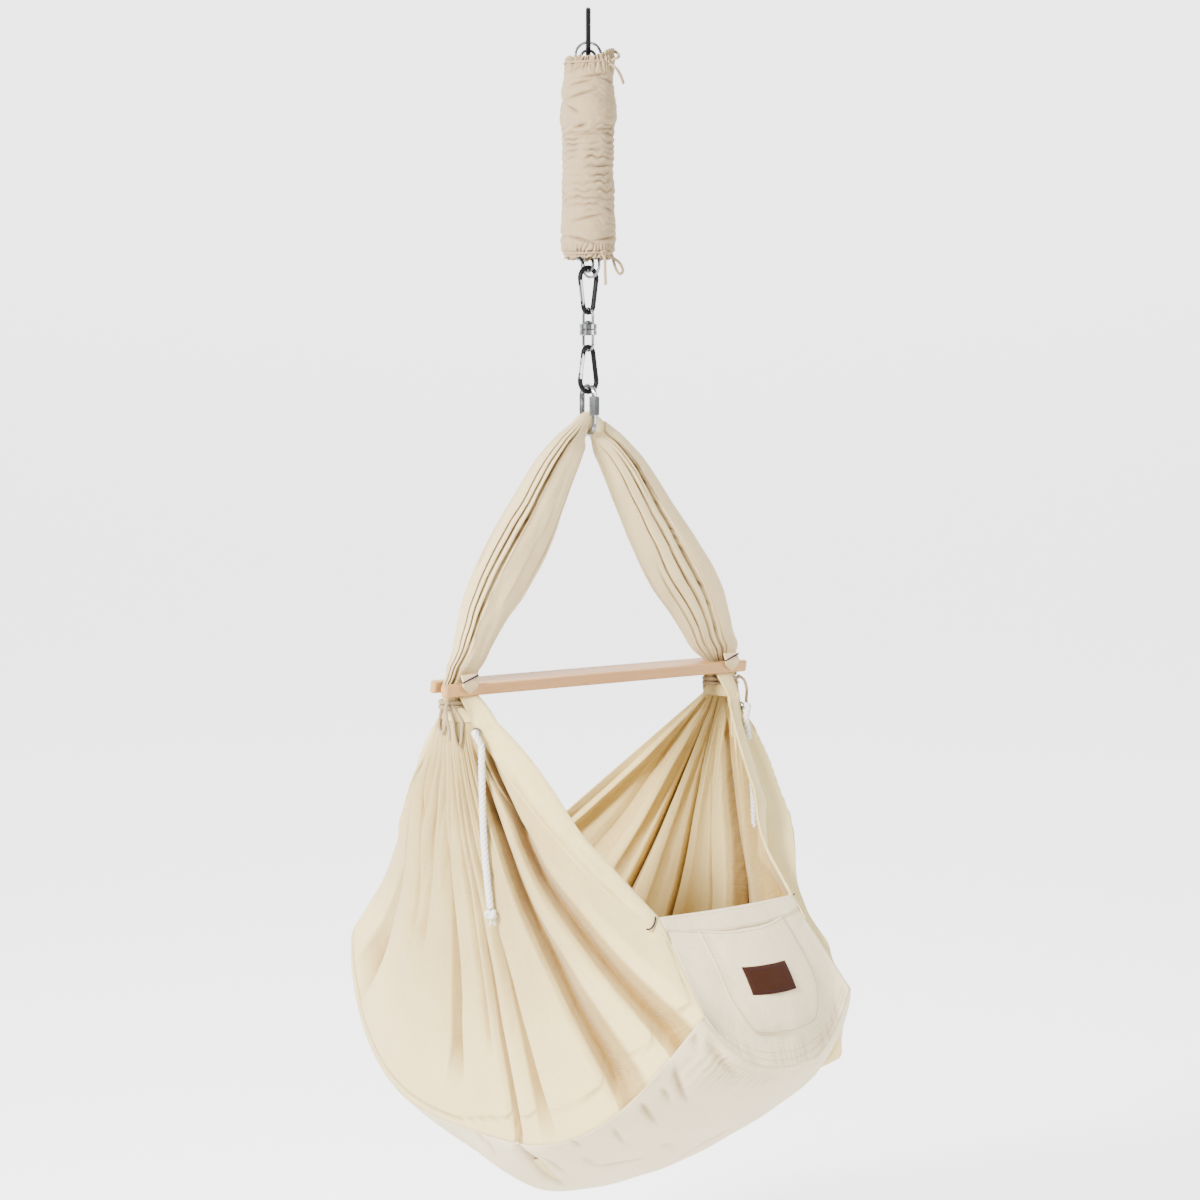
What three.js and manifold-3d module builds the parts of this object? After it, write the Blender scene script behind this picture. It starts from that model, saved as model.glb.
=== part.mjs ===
// Hanging baby cradle: a gathered cotton bag and sling on a slotted spreader bar, hung from one
// ceiling hook by a chain of carabiners, a swivel, a quick link and a coil spring in a cloth cover.
// Millimetres, +Z up, +X along the spreader bar, -Y towards the front panel.
// The origin is the hang point, inside the upper bend of the top carabiner.

import * as THREE from "three";
import { mergeVertices } from "three/addons/utils/BufferGeometryUtils.js";
import Module from "manifold-3d";

const wasm = await Module();
wasm.setup();

// Clearances shared by all pieces
const clearance = 0.3;
const overrun = 4;

// Carabiners, all three of one size
const carabinerHeight = 70;
const carabinerRod = 7;
const carabinerWideWidth = 37;
const carabinerNarrowWidth = 25;
const gateDiameter = 6.2;
const tongueThickness = 2.6;
const pinDiameter = 2.4;
const shoulderGap = 0.6;
const hookPlaneAngle = THREE.MathUtils.degToRad(49);

// Suspension spring
const springWire = 4;
const springMeanDiameter = 42;
const springLength = 310;
const springHookRadius = 10.5;
const springTurns = 24;
const springHookRise = 18;

// Safety cable
const cableDiameter = 4;
const cableLoopWidth = 40;
const cableLoopRise = 14;
const cableOffset = 4.6;
const cableCoilTurns = 5;
const ferruleLength = 14;
const ferruleWidth = 13;
const ferruleThickness = 7;
const ferruleDepth = 30;

const springSidesPerTurn = 8;
const springBore = springMeanDiameter * Math.cos(Math.PI / springSidesPerTurn) - springWire;
const cableCoilDiameter = springBore - cableDiameter - 2 * clearance;

// Spring cover and its drawstrings
const coverTopDrop = 66;
const coverInset = 15;
const coverLength = springLength - 2 * coverInset;
const coverDiameter = 74;
const coverSlack = 0.6;
const coverFoldDepth = 2.4;
const coverFoldPitch = 27;
const drawstringDiameter = 3;
const drawstringInset = 7;
const drawstringKnot = 7;

// Swivel
const swivelWire = 4;
const swivelWidth = 24;
const swivelLength = 63.6;
const swivelCollarHeight = 8;
const swivelCollarDiameter = 24.6;
const swivelStemDiameter = 6;
const swivelHeadDiameter = 11;
const swivelHeadHeight = 4;

// Quick link and its nut
const linkWire = 8;
const linkLength = 74;
const linkInnerWidth = 18;
const nutLength = 26.5;
const nutWidth = 13;
const nutMargin = 1.5;
const nutLap = 2;
const linkGap = 9;

// Spreader bar
const barLength = 563;
const barDepth = 36;
const barThickness = 16;
const barDrop = 930;
const barRoll = THREE.MathUtils.degToRad(10);
const barSlotWidth = 14;
const barEdge = 1.5;
const barShift = 14;

// Cloth where it passes the bar
const gatherInset = 38.5;
const gatherHalfSpan = barLength / 2 - gatherInset;
const gatherWidth = 56;
const gatherThickness = 10.6;

// Sling
const slingBundleHeight = 26;
const slingBundleWidth = 13.6;
const slingBundleOffset = 1.5;
const slingDepth = 46;
const slingFold = 3.2;
const slingFoldCount = 5;
const bandThickness = 2;
const tabWidth = 27;
const tabHeight = 22;
const tabPoint = 8;

// Neck of the bag and the rope that ties it
const neckHeight = 32;
const neckSpread = 74;
const neckBulge = 16;
const neckWaistDepth = 14;
const tieRope = 6;
const tieTurns = 2;
const tieSpacing = 0.5;
const tailRope = 7;
const knotLength = 18;
const knotDiameter = 14;
const eyeletDiameter = 15;
const eyeletBore = 8;
const eyeletHeight = 2.4;

// Bag
const clothThickness = 3;
const seamGap = 0.3;
const bagHalfLength = 402;
const bagCornerReach = 376;
const bagHalfWidth = 205;
const bagBottomDrop = 1645;
const bagToeDrop = 1400;
const bagSideSeamDrop = 1530;
const frontHalfWidth = 120;
const frontFootHalfWidth = 132;
const frontTopReach = 278;
const frontTopDrop = 1213;
const frontFootDrop = 1322;
const frontTopSag = 12;
const frontBulge = 24;
const frontSlack = 0.8;
const backSlack = 0.25;
const pleatCount = 10;
const pleatDepth = 9;
const hemWidth = 38;
const hemThickness = 2;
const bagCentreDrop = 1200;

// Pocket and label
const pocketThickness = 2;
const pocketCornerShare = 0.65;
const labelWidth = 70;
const labelHeight = 42;
const labelThickness = 2;
const labelSlack = 0.7;

// Mattress
const mattressThickness = 30;

// Levels and places that follow from the sizes above
const carabinerInside = carabinerHeight - 2 * carabinerRod;
const springTopLevel = -carabinerInside + clearance + springWire / 2;
const springFootLevel = springTopLevel - springLength;
const upperHang = springFootLevel + springWire / 2 + clearance;
const swivelTopLevel = upperHang - carabinerInside + clearance + swivelWire / 2;
const swivelFootLevel = swivelTopLevel - swivelLength + swivelWire;
const lowerHang = swivelFootLevel + swivelWire / 2 + clearance;
const linkTopLevel = lowerHang - carabinerInside + clearance + linkWire / 2;
const linkFootLevel = linkTopLevel - linkLength + linkWire;
const linkRadius = (linkInnerWidth + linkWire) / 2;
const slingSeat = linkFootLevel + linkWire / 2 + 2 * clearance;
const barLevel = -barDrop;
const barHalfHeight = (barThickness * Math.cos(barRoll) + barDepth * Math.sin(barRoll)) / 2;
const slingFoot = barLevel - barHalfHeight;
const neckTop = slingFoot - clearance;
const neckFoot = neckTop - neckHeight;
const bagTop = neckFoot - seamGap;
const bagCentre = new THREE.Vector3(0, 0, -bagCentreDrop);

// Materials
const steelBlack = new THREE.MeshStandardMaterial({ color: 0x17181a, roughness: 0.35, metalness: 0.7 });
const steelBright = new THREE.MeshStandardMaterial({ color: 0xc9cbce, roughness: 0.25, metalness: 1 });
const steelDark = new THREE.MeshStandardMaterial({ color: 0x55585c, roughness: 0.35, metalness: 1 });
const aluminium = new THREE.MeshStandardMaterial({ color: 0xb9bcc0, roughness: 0.45, metalness: 1 });
const beech = new THREE.MeshStandardMaterial({ color: 0xe3c3a2, roughness: 0.55, metalness: 0 });
const cotton = new THREE.MeshStandardMaterial({ color: 0xeee4d0, roughness: 0.9, metalness: 0 });
const cottonShade = new THREE.MeshStandardMaterial({ color: 0xe4d8c2, roughness: 0.9, metalness: 0 });
const rope = new THREE.MeshStandardMaterial({ color: 0xf2efe8, roughness: 0.85, metalness: 0 });
const leather = new THREE.MeshStandardMaterial({ color: 0x774730, roughness: 0.6, metalness: 0 });
const foam = new THREE.MeshStandardMaterial({ color: 0xf4efe4, roughness: 0.95, metalness: 0 });

const vec = (x, y, z) => new THREE.Vector3(x, y, z);
const { lerp, smoothstep, clamp } = THREE.MathUtils;
const range = (count) => Array.from({ length: count }, (_, index) => index);

// A mesh that closes on itself, with its faces turned outwards
function closedGeometry(points, triangles) {
  const volume = triangles.reduce((sum, [a, b, c]) => {
    return sum + points[a].dot(new THREE.Vector3().crossVectors(points[b], points[c]));
  }, 0);
  const order = volume < 0 ? triangles.map(([a, b, c]) => [a, c, b]) : triangles;
  const geometry = new THREE.BufferGeometry().setFromPoints(points);
  geometry.setIndex(order.flat());
  geometry.computeVertexNormals();
  return geometry;
}

// The same for a three.js geometry, its shared corners merged
function outward(geometry) {
  geometry.deleteAttribute("normal");
  geometry.deleteAttribute("uv");
  const merged = mergeVertices(geometry);
  const place = merged.attributes.position;
  const points = range(place.count).map((index) => vec(place.getX(index), place.getY(index), place.getZ(index)));
  const corners = Array.from(merged.index.array);
  const triangles = range(corners.length / 3).map((index) => corners.slice(3 * index, 3 * index + 3));
  return closedGeometry(points, triangles.filter(([a, b, c]) => a !== b && b !== c && c !== a));
}

// Joins and cuts
function toSolid(geometry) {
  const closed = outward(geometry.clone());
  return new wasm.Manifold(new wasm.Mesh({
    numProp: 3,
    vertProperties: new Float32Array(closed.attributes.position.array),
    triVerts: new Uint32Array(closed.index.array),
  }));
}

function toGeometry(solid) {
  const mesh = solid.getMesh();
  const geometry = new THREE.BufferGeometry();
  geometry.setAttribute("position", new THREE.BufferAttribute(new Float32Array(mesh.vertProperties), mesh.numProp));
  geometry.setIndex(Array.from(mesh.triVerts));
  geometry.computeVertexNormals();
  return geometry;
}

function joined(...geometries) {
  return toGeometry(geometries.map(toSolid).reduce((whole, next) => whole.add(next)));
}

function cut(geometry, ...tools) {
  return toGeometry(tools.map(toSolid).reduce((whole, tool) => whole.subtract(tool), toSolid(geometry)));
}

// A path through stations, one ring of a tube at each
class Route extends THREE.Curve {
  constructor(stations) {
    super();
    this.stations = stations;
  }

  getPointAt(share, target = new THREE.Vector3()) {
    const last = this.stations.length - 1;
    const place = share * last;
    const index = Math.min(Math.floor(place), last - 1);
    return target.lerpVectors(this.stations[index], this.stations[index + 1], place - index);
  }

  getPoint(share, target) {
    return this.getPointAt(share, target);
  }

  getSpacedPoints(divisions) {
    return range(divisions + 1).map((index) => this.getPointAt(index / divisions));
  }

  getTangentAt(share, target = new THREE.Vector3()) {
    const last = this.stations.length - 1;
    const index = Math.round(share * last);
    const before = this.stations[Math.max(index - 1, 0)];
    const here = this.stations[index];
    const after = this.stations[Math.min(index + 1, last)];
    const arriving = here.clone().sub(before).normalize();
    const leaving = after.clone().sub(here).normalize();
    return target.addVectors(arriving, leaving).normalize();
  }
}

function polygon(radius, sides) {
  return range(sides).map((side) => {
    const turn = (2 * Math.PI * side) / sides;
    return new THREE.Vector2(radius * Math.cos(turn), radius * Math.sin(turn));
  });
}

function tube(stations, diameter, sides) {
  const section = new THREE.Shape(polygon(diameter / 2, sides));
  return outward(new THREE.ExtrudeGeometry(section, {
    steps: stations.length - 1,
    extrudePath: new Route(stations),
    bevelEnabled: false,
  }));
}

// Arc in a plane of two axes, from one angle to another
function arc(centre, radius, from, to, steps, across, along) {
  return range(steps + 1).map((step) => {
    const angle = lerp(from, to, step / steps);
    const offset = across.clone().multiplyScalar(radius * Math.cos(angle));
    return centre.clone().add(offset).addScaledVector(along, radius * Math.sin(angle));
  });
}

// A turned piece about the Z axis, its profile as pairs of radius and height
function turned(profile, segments) {
  const points = profile.map(([radius, height]) => new THREE.Vector2(radius, height));
  return outward(new THREE.LatheGeometry(points, segments).rotateX(Math.PI / 2));
}

// A closed body lofted through rings of points, with flat ends
function loft(rings) {
  const count = rings[0].length;
  const points = rings.flat();
  const triangles = [];
  for (const row of range(rings.length - 1)) {
    for (const side of range(count)) {
      const a = row * count + side;
      const b = row * count + ((side + 1) % count);
      triangles.push([a, b, b + count], [a, b + count, a + count]);
    }
  }
  for (const row of [0, rings.length - 1]) {
    const middle = rings[row].reduce((sum, point) => sum.add(point), vec(0, 0, 0)).divideScalar(count);
    points.push(middle);
    for (const side of range(count)) {
      const a = row * count + side;
      const b = row * count + ((side + 1) % count);
      triangles.push(row === 0 ? [b, a, points.length - 1] : [a, b, points.length - 1]);
    }
  }
  return closedGeometry(points, triangles);
}

// A closed sheet between two grids of points
function sheet(outer, inner) {
  const rows = outer.length;
  const columns = outer[0].length;
  const points = [...outer.flat(), ...inner.flat()];
  const back = rows * columns;
  const triangles = [];
  const quad = (a, b, c, d) => triangles.push([a, b, c], [a, c, d]);
  for (const row of range(rows - 1)) {
    for (const column of range(columns - 1)) {
      const a = row * columns + column;
      quad(a, a + 1, a + columns + 1, a + columns);
      quad(back + a, back + a + columns, back + a + columns + 1, back + a + 1);
    }
  }
  const edge = [
    ...range(columns).map((column) => column),
    ...range(rows).slice(1).map((row) => row * columns + columns - 1),
    ...range(columns).slice(1).map((column) => rows * columns - 1 - column),
    ...range(rows).slice(1, -1).map((row) => (rows - 1 - row) * columns),
  ];
  edge.forEach((a, index) => {
    const b = edge[(index + 1) % edge.length];
    quad(a, back + a, back + b, b);
  });
  return closedGeometry(points, triangles);
}

// Least gap of a wound tube to itself, measured between points further apart than one bend
function reportLeastGap(name, stations, diameter) {
  const lengths = [0];
  stations.slice(1).forEach((point, index) => lengths.push(lengths[index] + point.distanceTo(stations[index])));
  let least = Infinity;
  stations.forEach((point, index) => {
    stations.slice(index + 1).forEach((other, step) => {
      if (lengths[index + 1 + step] - lengths[index] > diameter * Math.PI) {
        least = Math.min(least, point.distanceTo(other) - diameter);
      }
    });
  });
  console.log(`${name}: least gap to itself ${least.toFixed(2)} mm`);
}

const model = new THREE.Group();

function add(name, geometry, material) {
  const mesh = new THREE.Mesh(geometry, material);
  mesh.name = name;
  model.add(mesh);
  return mesh;
}

// Carabiner: a pear-shaped rod with a gate between its two ends
const acrossX = vec(1, 0, 0);
const acrossY = vec(0, 1, 0);
const upZ = vec(0, 0, 1);

function addCarabiner(name, hangLevel, wideEndUp, planeAngle) {
  const flip = wideEndUp ? 1 : -1;
  const wideRadius = (carabinerWideWidth - carabinerRod) / 2;
  const narrowRadius = (carabinerNarrowWidth - carabinerRod) / 2;
  const bendSpan = carabinerHeight - carabinerRod - wideRadius - narrowRadius;
  const lean = Math.asin((wideRadius - narrowRadius) / bendSpan);
  const topLevel = hangLevel + carabinerRod / 2;
  const wideLevel = wideEndUp ? topLevel - wideRadius : topLevel - narrowRadius - bendSpan;
  const narrowLevel = wideLevel - flip * bendSpan;
  const along = upZ.clone().multiplyScalar(flip);
  const wideBend = arc(vec(0, 0, wideLevel), wideRadius, Math.PI + lean, -lean, 12, acrossX, along);
  const narrowBend = arc(vec(0, 0, narrowLevel), narrowRadius, -lean, lean - Math.PI, 8, acrossX, along);
  const nose = wideBend[0];
  const heel = narrowBend[narrowBend.length - 1];
  const gateLine = nose.clone().sub(heel).normalize();
  const pivotReach = gateDiameter / 2 + shoulderGap;
  const tongueLength = 2 * pivotReach;
  const pivot = heel.clone().addScaledVector(gateLine, pivotReach);
  const tilt = Math.atan2(gateLine.x, gateLine.z);

  // Box whose length lies along the gate's line, from one point a given way along it
  const alignedBox = (start, length, width, sideways) => {
    const box = new THREE.BoxGeometry(2 * carabinerRod, width, length).rotateY(tilt);
    const centre = start.clone().addScaledVector(gateLine, length / 2);
    return box.translate(centre.x, sideways, centre.z);
  };
  const cheek = carabinerRod;
  const cheekPlace = tongueThickness / 2 + cheek / 2;
  const cheeks = [-1, 1].flatMap((side) => [
    alignedBox(heel, tongueLength + overrun, cheek, side * cheekPlace),
    alignedBox(nose.clone().addScaledVector(gateLine, -tongueLength - overrun),
      tongueLength + overrun, cheek, side * cheekPlace),
  ]);
  const pinAt = (diameter, length) => {
    return new THREE.CylinderGeometry(diameter / 2, diameter / 2, length, 10).translate(pivot.x, 0, pivot.z);
  };
  const pinHole = pinAt(pinDiameter + 2 * clearance, 2 * carabinerRod);
  const path = [
    nose.clone().addScaledVector(gateLine, -tongueLength),
    ...wideBend,
    ...narrowBend,
    heel.clone().addScaledVector(gateLine, tongueLength),
  ];
  const body = cut(tube(path, carabinerRod, 10), ...cheeks, pinHole);

  const gateLength = nose.distanceTo(pivot) - shoulderGap;
  const gateCentre = pivot.clone().addScaledVector(gateLine, gateLength / 2);
  const gateRod = new THREE.CylinderGeometry(gateDiameter / 2, gateDiameter / 2, gateLength, 10)
    .rotateX(Math.PI / 2).rotateY(tilt).translate(gateCentre.x, 0, gateCentre.z);
  const gateTail = new THREE.SphereGeometry(gateDiameter / 2, 10, 8).translate(pivot.x, 0, pivot.z);
  const forkWidth = tongueThickness + 2 * clearance;
  const tailDepth = Math.hypot(pivotReach, carabinerRod / 2) + 2 * clearance;
  const tailSlot = alignedBox(pivot.clone().addScaledVector(gateLine, -gateDiameter), gateDiameter + tailDepth, forkWidth, 0);
  const noseSlot = alignedBox(nose.clone().addScaledVector(gateLine, -tongueLength - clearance),
    tongueLength + overrun, forkWidth, 0);
  const gate = cut(joined(gateRod, gateTail), tailSlot, noseSlot, pinHole);
  for (const [piece, geometry, material] of [
    ["body", body, steelBlack],
    ["pin", outward(pinAt(pinDiameter, gateDiameter)), steelBright],
    ["gate", gate, steelBright],
  ]) {
    add(`${name}_carabiner_${piece}`, geometry, material).rotation.z = planeAngle;
  }
}

addCarabiner("hook", 0, false, hookPlaneAngle);
addCarabiner("upper", upperHang, true, 0);
addCarabiner("lower", lowerHang, false, 0);

// Suspension spring: one wire, an open hook at each end that stands in the plane across its carabiner
const springRadius = springMeanDiameter / 2;
const turnedBy = (point, angle) => point.clone().applyAxisAngle(upZ, angle);
const onCircle = (radius, angle, level) => vec(radius * Math.cos(angle), radius * Math.sin(angle), level);

function springStations() {
  const hookTurn = THREE.MathUtils.degToRad(215);
  const blendTurn = THREE.MathUtils.degToRad(70);
  const topCentre = springTopLevel - springHookRadius;
  const footCentre = springFootLevel + springHookRadius;
  const topHook = arc(vec(0, 0, topCentre), springHookRadius, Math.PI - hookTurn, Math.PI, 12, acrossY, upZ)
    .map((point) => turnedBy(point, hookPlaneAngle));
  const footHook = arc(vec(0, 0, footCentre), springHookRadius, 0, -hookTurn, 12, acrossY, upZ);
  const topAngle = hookPlaneAngle - Math.PI / 2;
  const footAngle = Math.PI / 2 - 2 * Math.PI * springTurns;
  const blendSteps = 5;
  const blend = (level, angle, way) => range(blendSteps).slice(1).map((step) => {
    const share = step / blendSteps;
    const radius = lerp(springHookRadius, springRadius, smoothstep(share, 0, 1));
    return onCircle(radius, angle - way * blendTurn * share * share, level - way * springHookRise * share);
  });
  const coilTop = topCentre - springHookRise;
  const coilFoot = footCentre + springHookRise;
  const coilTurn = topAngle - footAngle - 2 * blendTurn;
  const coilSteps = Math.round((coilTurn * springSidesPerTurn) / (2 * Math.PI));
  const coil = range(coilSteps + 1).map((step) => {
    const share = step / coilSteps;
    return onCircle(springRadius, topAngle - blendTurn - coilTurn * share, lerp(coilTop, coilFoot, share));
  });
  return [...topHook, ...blend(topCentre, topAngle, 1), ...coil, ...blend(footCentre, footAngle, -1).reverse(), ...footHook];
}

const springPath = springStations();
reportLeastGap("suspension_spring", springPath, springWire);
add("suspension_spring", tube(springPath, springWire, 5), steelDark);

// Safety cable: a loop through each carabiner, a ferrule, and the slack stretch inside the spring
const cableLoopRadius = (cableLoopWidth - cableDiameter) / 2;
const strandPlace = cableDiameter / 2 + clearance;

function cableLoop(topLevel, way) {
  const centre = topLevel - way * cableLoopRadius;
  const mouth = THREE.MathUtils.degToRad(38);
  const along = upZ.clone().multiplyScalar(way);
  const bend = arc(vec(cableOffset, 0, centre), cableLoopRadius, -mouth, Math.PI + mouth, 20, acrossY, along);
  const ferruleTop = centre - way * ferruleDepth;
  const ends = [1, -1].map((side) => [
    vec(cableOffset, side * strandPlace, ferruleTop - way * ferruleLength),
    vec(cableOffset, side * strandPlace, ferruleTop),
  ]);
  return { stations: [...ends[0], ...bend, ...ends[1].reverse()], ferruleTop };
}

function addCableEnd(name, topLevel, way, planeAngle) {
  const { stations, ferruleTop } = cableLoop(topLevel, way);
  add(`cable_loop_${name}`, tube(stations, cableDiameter, 8), steelBright).rotation.z = planeAngle;
  const middle = ferruleTop - (way * ferruleLength) / 2;
  const half = ferruleThickness / 2;
  const block = new THREE.CylinderGeometry(half, half, ferruleLength, 16)
    .scale(1, 1, ferruleWidth / ferruleThickness).rotateX(Math.PI / 2).translate(cableOffset, 0, middle);
  const passage = ferruleLength + overrun;
  const bores = [-1, 1].map((side) => new THREE.CylinderGeometry(strandPlace, strandPlace, passage, 12)
    .rotateX(Math.PI / 2).translate(cableOffset, side * strandPlace, middle));
  const waist = new THREE.BoxGeometry(strandPlace, 2 * strandPlace, passage).translate(cableOffset, 0, middle);
  add(`cable_ferrule_${name}`, cut(block, ...bores, waist), aluminium).rotation.z = planeAngle;
  return vec(cableOffset, strandPlace, ferruleTop - way * (ferruleLength + clearance)).applyAxisAngle(upZ, planeAngle);
}

const cableLoopTop = -carabinerInside + cableLoopRise;
const cableLoopFoot = upperHang - cableLoopRise + cableDiameter;
const slackTop = addCableEnd("top", cableLoopTop, 1, hookPlaneAngle);
const slackFoot = addCableEnd("bottom", cableLoopFoot, -1, 0);

function slackStations() {
  const from = Math.atan2(slackTop.y, slackTop.x);
  const to = Math.atan2(slackFoot.y, slackFoot.x) + 2 * Math.PI * cableCoilTurns;
  const near = Math.hypot(slackTop.x, slackTop.y);
  const steps = 12 * cableCoilTurns;
  const lead = cableDiameter;
  const wound = range(steps + 1).map((step) => {
    const share = step / steps;
    const spread = smoothstep(Math.sin(Math.PI * share), 0, 0.6);
    const radius = lerp(near, cableCoilDiameter / 2, spread);
    return onCircle(radius, lerp(from, to, share), lerp(slackTop.z - lead, slackFoot.z + lead, share));
  });
  return [slackTop, ...wound, slackFoot];
}

const slackPath = slackStations();
reportLeastGap("safety_cable", slackPath, cableDiameter);
add("safety_cable", tube(slackPath, cableDiameter, 6), steelBright);

// Spring cover: a gathered sleeve, its main folds as rings that wander round it
const coverTop = -coverTopDrop;
const coverFoot = coverTop - coverLength;
const coverBore = springMeanDiameter + springWire + 2 * coverSlack;
const coverProfileShares = [
  [0, 0.7], [0.02, 0.84], [0.06, 0.93], [0.12, 0.99], [0.3, 1], [0.5, 0.97], [0.7, 0.98], [0.87, 1.02],
  [0.94, 0.98], [0.975, 0.87], [1, 0.7],
];

function shareAt(table, place) {
  const index = clamp(table.findIndex(([start]) => start >= place), 1, table.length - 1);
  const [fromPlace, fromValue] = table[index - 1];
  const [toPlace, toValue] = table[index];
  return lerp(fromValue, toValue, clamp((place - fromPlace) / (toPlace - fromPlace), 0, 1));
}

function coverRadius(share, angle) {
  const base = (coverDiameter / 2) * shareAt(coverProfileShares, share);
  const fade = smoothstep(share, 0.03, 0.15) * smoothstep(1 - share, 0.03, 0.15);
  const wander = 1.3 * Math.sin(angle + 5 * share) + 0.7 * Math.sin(2 * angle - 9 * share);
  const fold = Math.cos((2 * Math.PI * share * coverLength) / coverFoldPitch + wander);
  return base + coverFoldDepth * fade * (fold - 0.6) * 0.8;
}

function coverGeometry() {
  const around = 16;
  const rows = 36;
  const rings = range(rows + 1).map((row) => range(around).map((side) => {
    const share = row / rows;
    const angle = (2 * Math.PI * side) / around;
    return onCircle(coverRadius(share, angle), angle, coverTop - share * coverLength);
  }));
  const bore = turned([
    [0, coverTop + overrun], [coverBore / 2, coverTop + overrun],
    [coverBore / 2, coverFoot - overrun], [0, coverFoot - overrun],
  ], around);
  return cut(loft(rings), bore);
}

add("spring_cover", coverGeometry(), cottonShade);

// Drawstrings of the cover: a ring and a knot in one piece. Returns the ring's radius.
function addDrawstring(name, level, knotAngle) {
  const share = (coverTop - level) / coverLength;
  const radius = coverRadius(share, 0) + clearance + drawstringDiameter / 2;
  const ring = new THREE.TorusGeometry(radius, drawstringDiameter / 2, 6, 32).translate(0, 0, level);
  const knotPlace = onCircle(radius + drawstringDiameter / 2, knotAngle, level);
  const knot = new THREE.SphereGeometry(drawstringKnot / 2, 8, 6).translate(knotPlace.x, knotPlace.y, knotPlace.z);
  const inside = turned([
    [0, level + drawstringKnot], [radius - drawstringDiameter / 2, level + drawstringKnot],
    [radius - drawstringDiameter / 2, level - drawstringKnot], [0, level - drawstringKnot],
  ], 32);
  add(`cover_drawstring_${name}`, cut(joined(ring, knot), inside), rope);
  return radius;
}

// Loose ends of the drawstrings, their ways as shares of a knot's size, measured from the knot
const topKnotAngle = THREE.MathUtils.degToRad(-75);
const footKnotAngle = THREE.MathUtils.degToRad(-95);
const footLoopAngle = THREE.MathUtils.degToRad(-48);
const footLoopSpread = THREE.MathUtils.degToRad(5);
const topLevel = coverTop - drawstringInset;
const footLevel = coverFoot + drawstringInset;
const topTailUpShares = [
  [0.5, -1, 0.75], [0.98, -1.2, 0.8], [1.66, -0.96, 1.05], [2.23, -0.46, 1.5], [2.44, 0.26, 2.07], [2.37, 0.9, 2.5],
];
const topTailDownShares = [
  [0.6, -0.8, -0.85], [1.1, -0.95, -1.25], [1.87, -0.89, -1.9], [2.73, -0.6, -2.71], [3.59, -0.1, -3.43],
  [4.16, 0.33, -3.79],
];
const footTailShares = [
  [0, -0.4, -1], [0, -0.51, -1.7], [0.09, -0.44, -2.86], [0.23, -0.3, -4.07], [0.44, -0.16, -5.3], [0.59, 0, -6.3],
];
const footLoopShares = [
  [0.82, -0.96, -1.6], [1.46, -1.17, -2.5], [1.75, -1.17, -3.5], [1.32, -0.74, -3.98], [0.82, -0.31, -3.2],
  [0.5, 0, -1.9],
];

const along = (origin, shares) => shares.map(([x, y, z]) => vec(x, y, z).multiplyScalar(drawstringKnot).add(origin));

function addCord(name, places, steps) {
  const curve = new THREE.CatmullRomCurve3(places);
  add(name, tube(curve.getSpacedPoints(steps), drawstringDiameter, 8), rope);
}

function addTail(name, ringRadius, level, knotAngle, shares) {
  const knot = onCircle(ringRadius + drawstringDiameter / 2, knotAngle, level);
  const way = vec(...shares[0]).normalize();
  const start = knot.clone().addScaledVector(way, drawstringKnot / 2 + clearance);
  addCord(`cover_tail_${name}`, [start, ...along(knot, shares.slice(1))], 9);
}

function addFootLoop(ringRadius) {
  const under = footLevel - drawstringDiameter / 2 - clearance;
  const [first, last] = [-1, 1].map((way) => {
    const end = onCircle(ringRadius, footLoopAngle + way * footLoopSpread, under);
    return [end, end.clone().addScaledVector(upZ, -drawstringDiameter)];
  });
  const middle = along(onCircle(ringRadius, footLoopAngle, footLevel), footLoopShares);
  addCord("cover_loop_bottom", [...first, ...middle, ...last.reverse()], 18);
}

const topRing = addDrawstring("top", topLevel, topKnotAngle);
addTail("top_up", topRing, topLevel, topKnotAngle, topTailUpShares);
addTail("top_down", topRing, topLevel, topKnotAngle, topTailDownShares);
const footRing = addDrawstring("bottom", footLevel, footKnotAngle);
addTail("bottom", footRing, footLevel, footKnotAngle, footTailShares);
addFootLoop(footRing);

// Swivel: two bows, one on a collar with a bore, the other on a riveted stem that turns in it
const bowRadius = (swivelWidth - swivelWire) / 2;
const swivelMiddle = (swivelTopLevel + swivelFootLevel) / 2;

function bow(crownLevel, way, rootLevel) {
  const along = upZ.clone().multiplyScalar(way);
  const bend = arc(vec(0, 0, crownLevel - way * bowRadius), bowRadius, 0, Math.PI, 12, acrossY, along);
  return tube([vec(0, bowRadius, rootLevel), ...bend, vec(0, -bowRadius, rootLevel)], swivelWire, 8);
}

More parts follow.
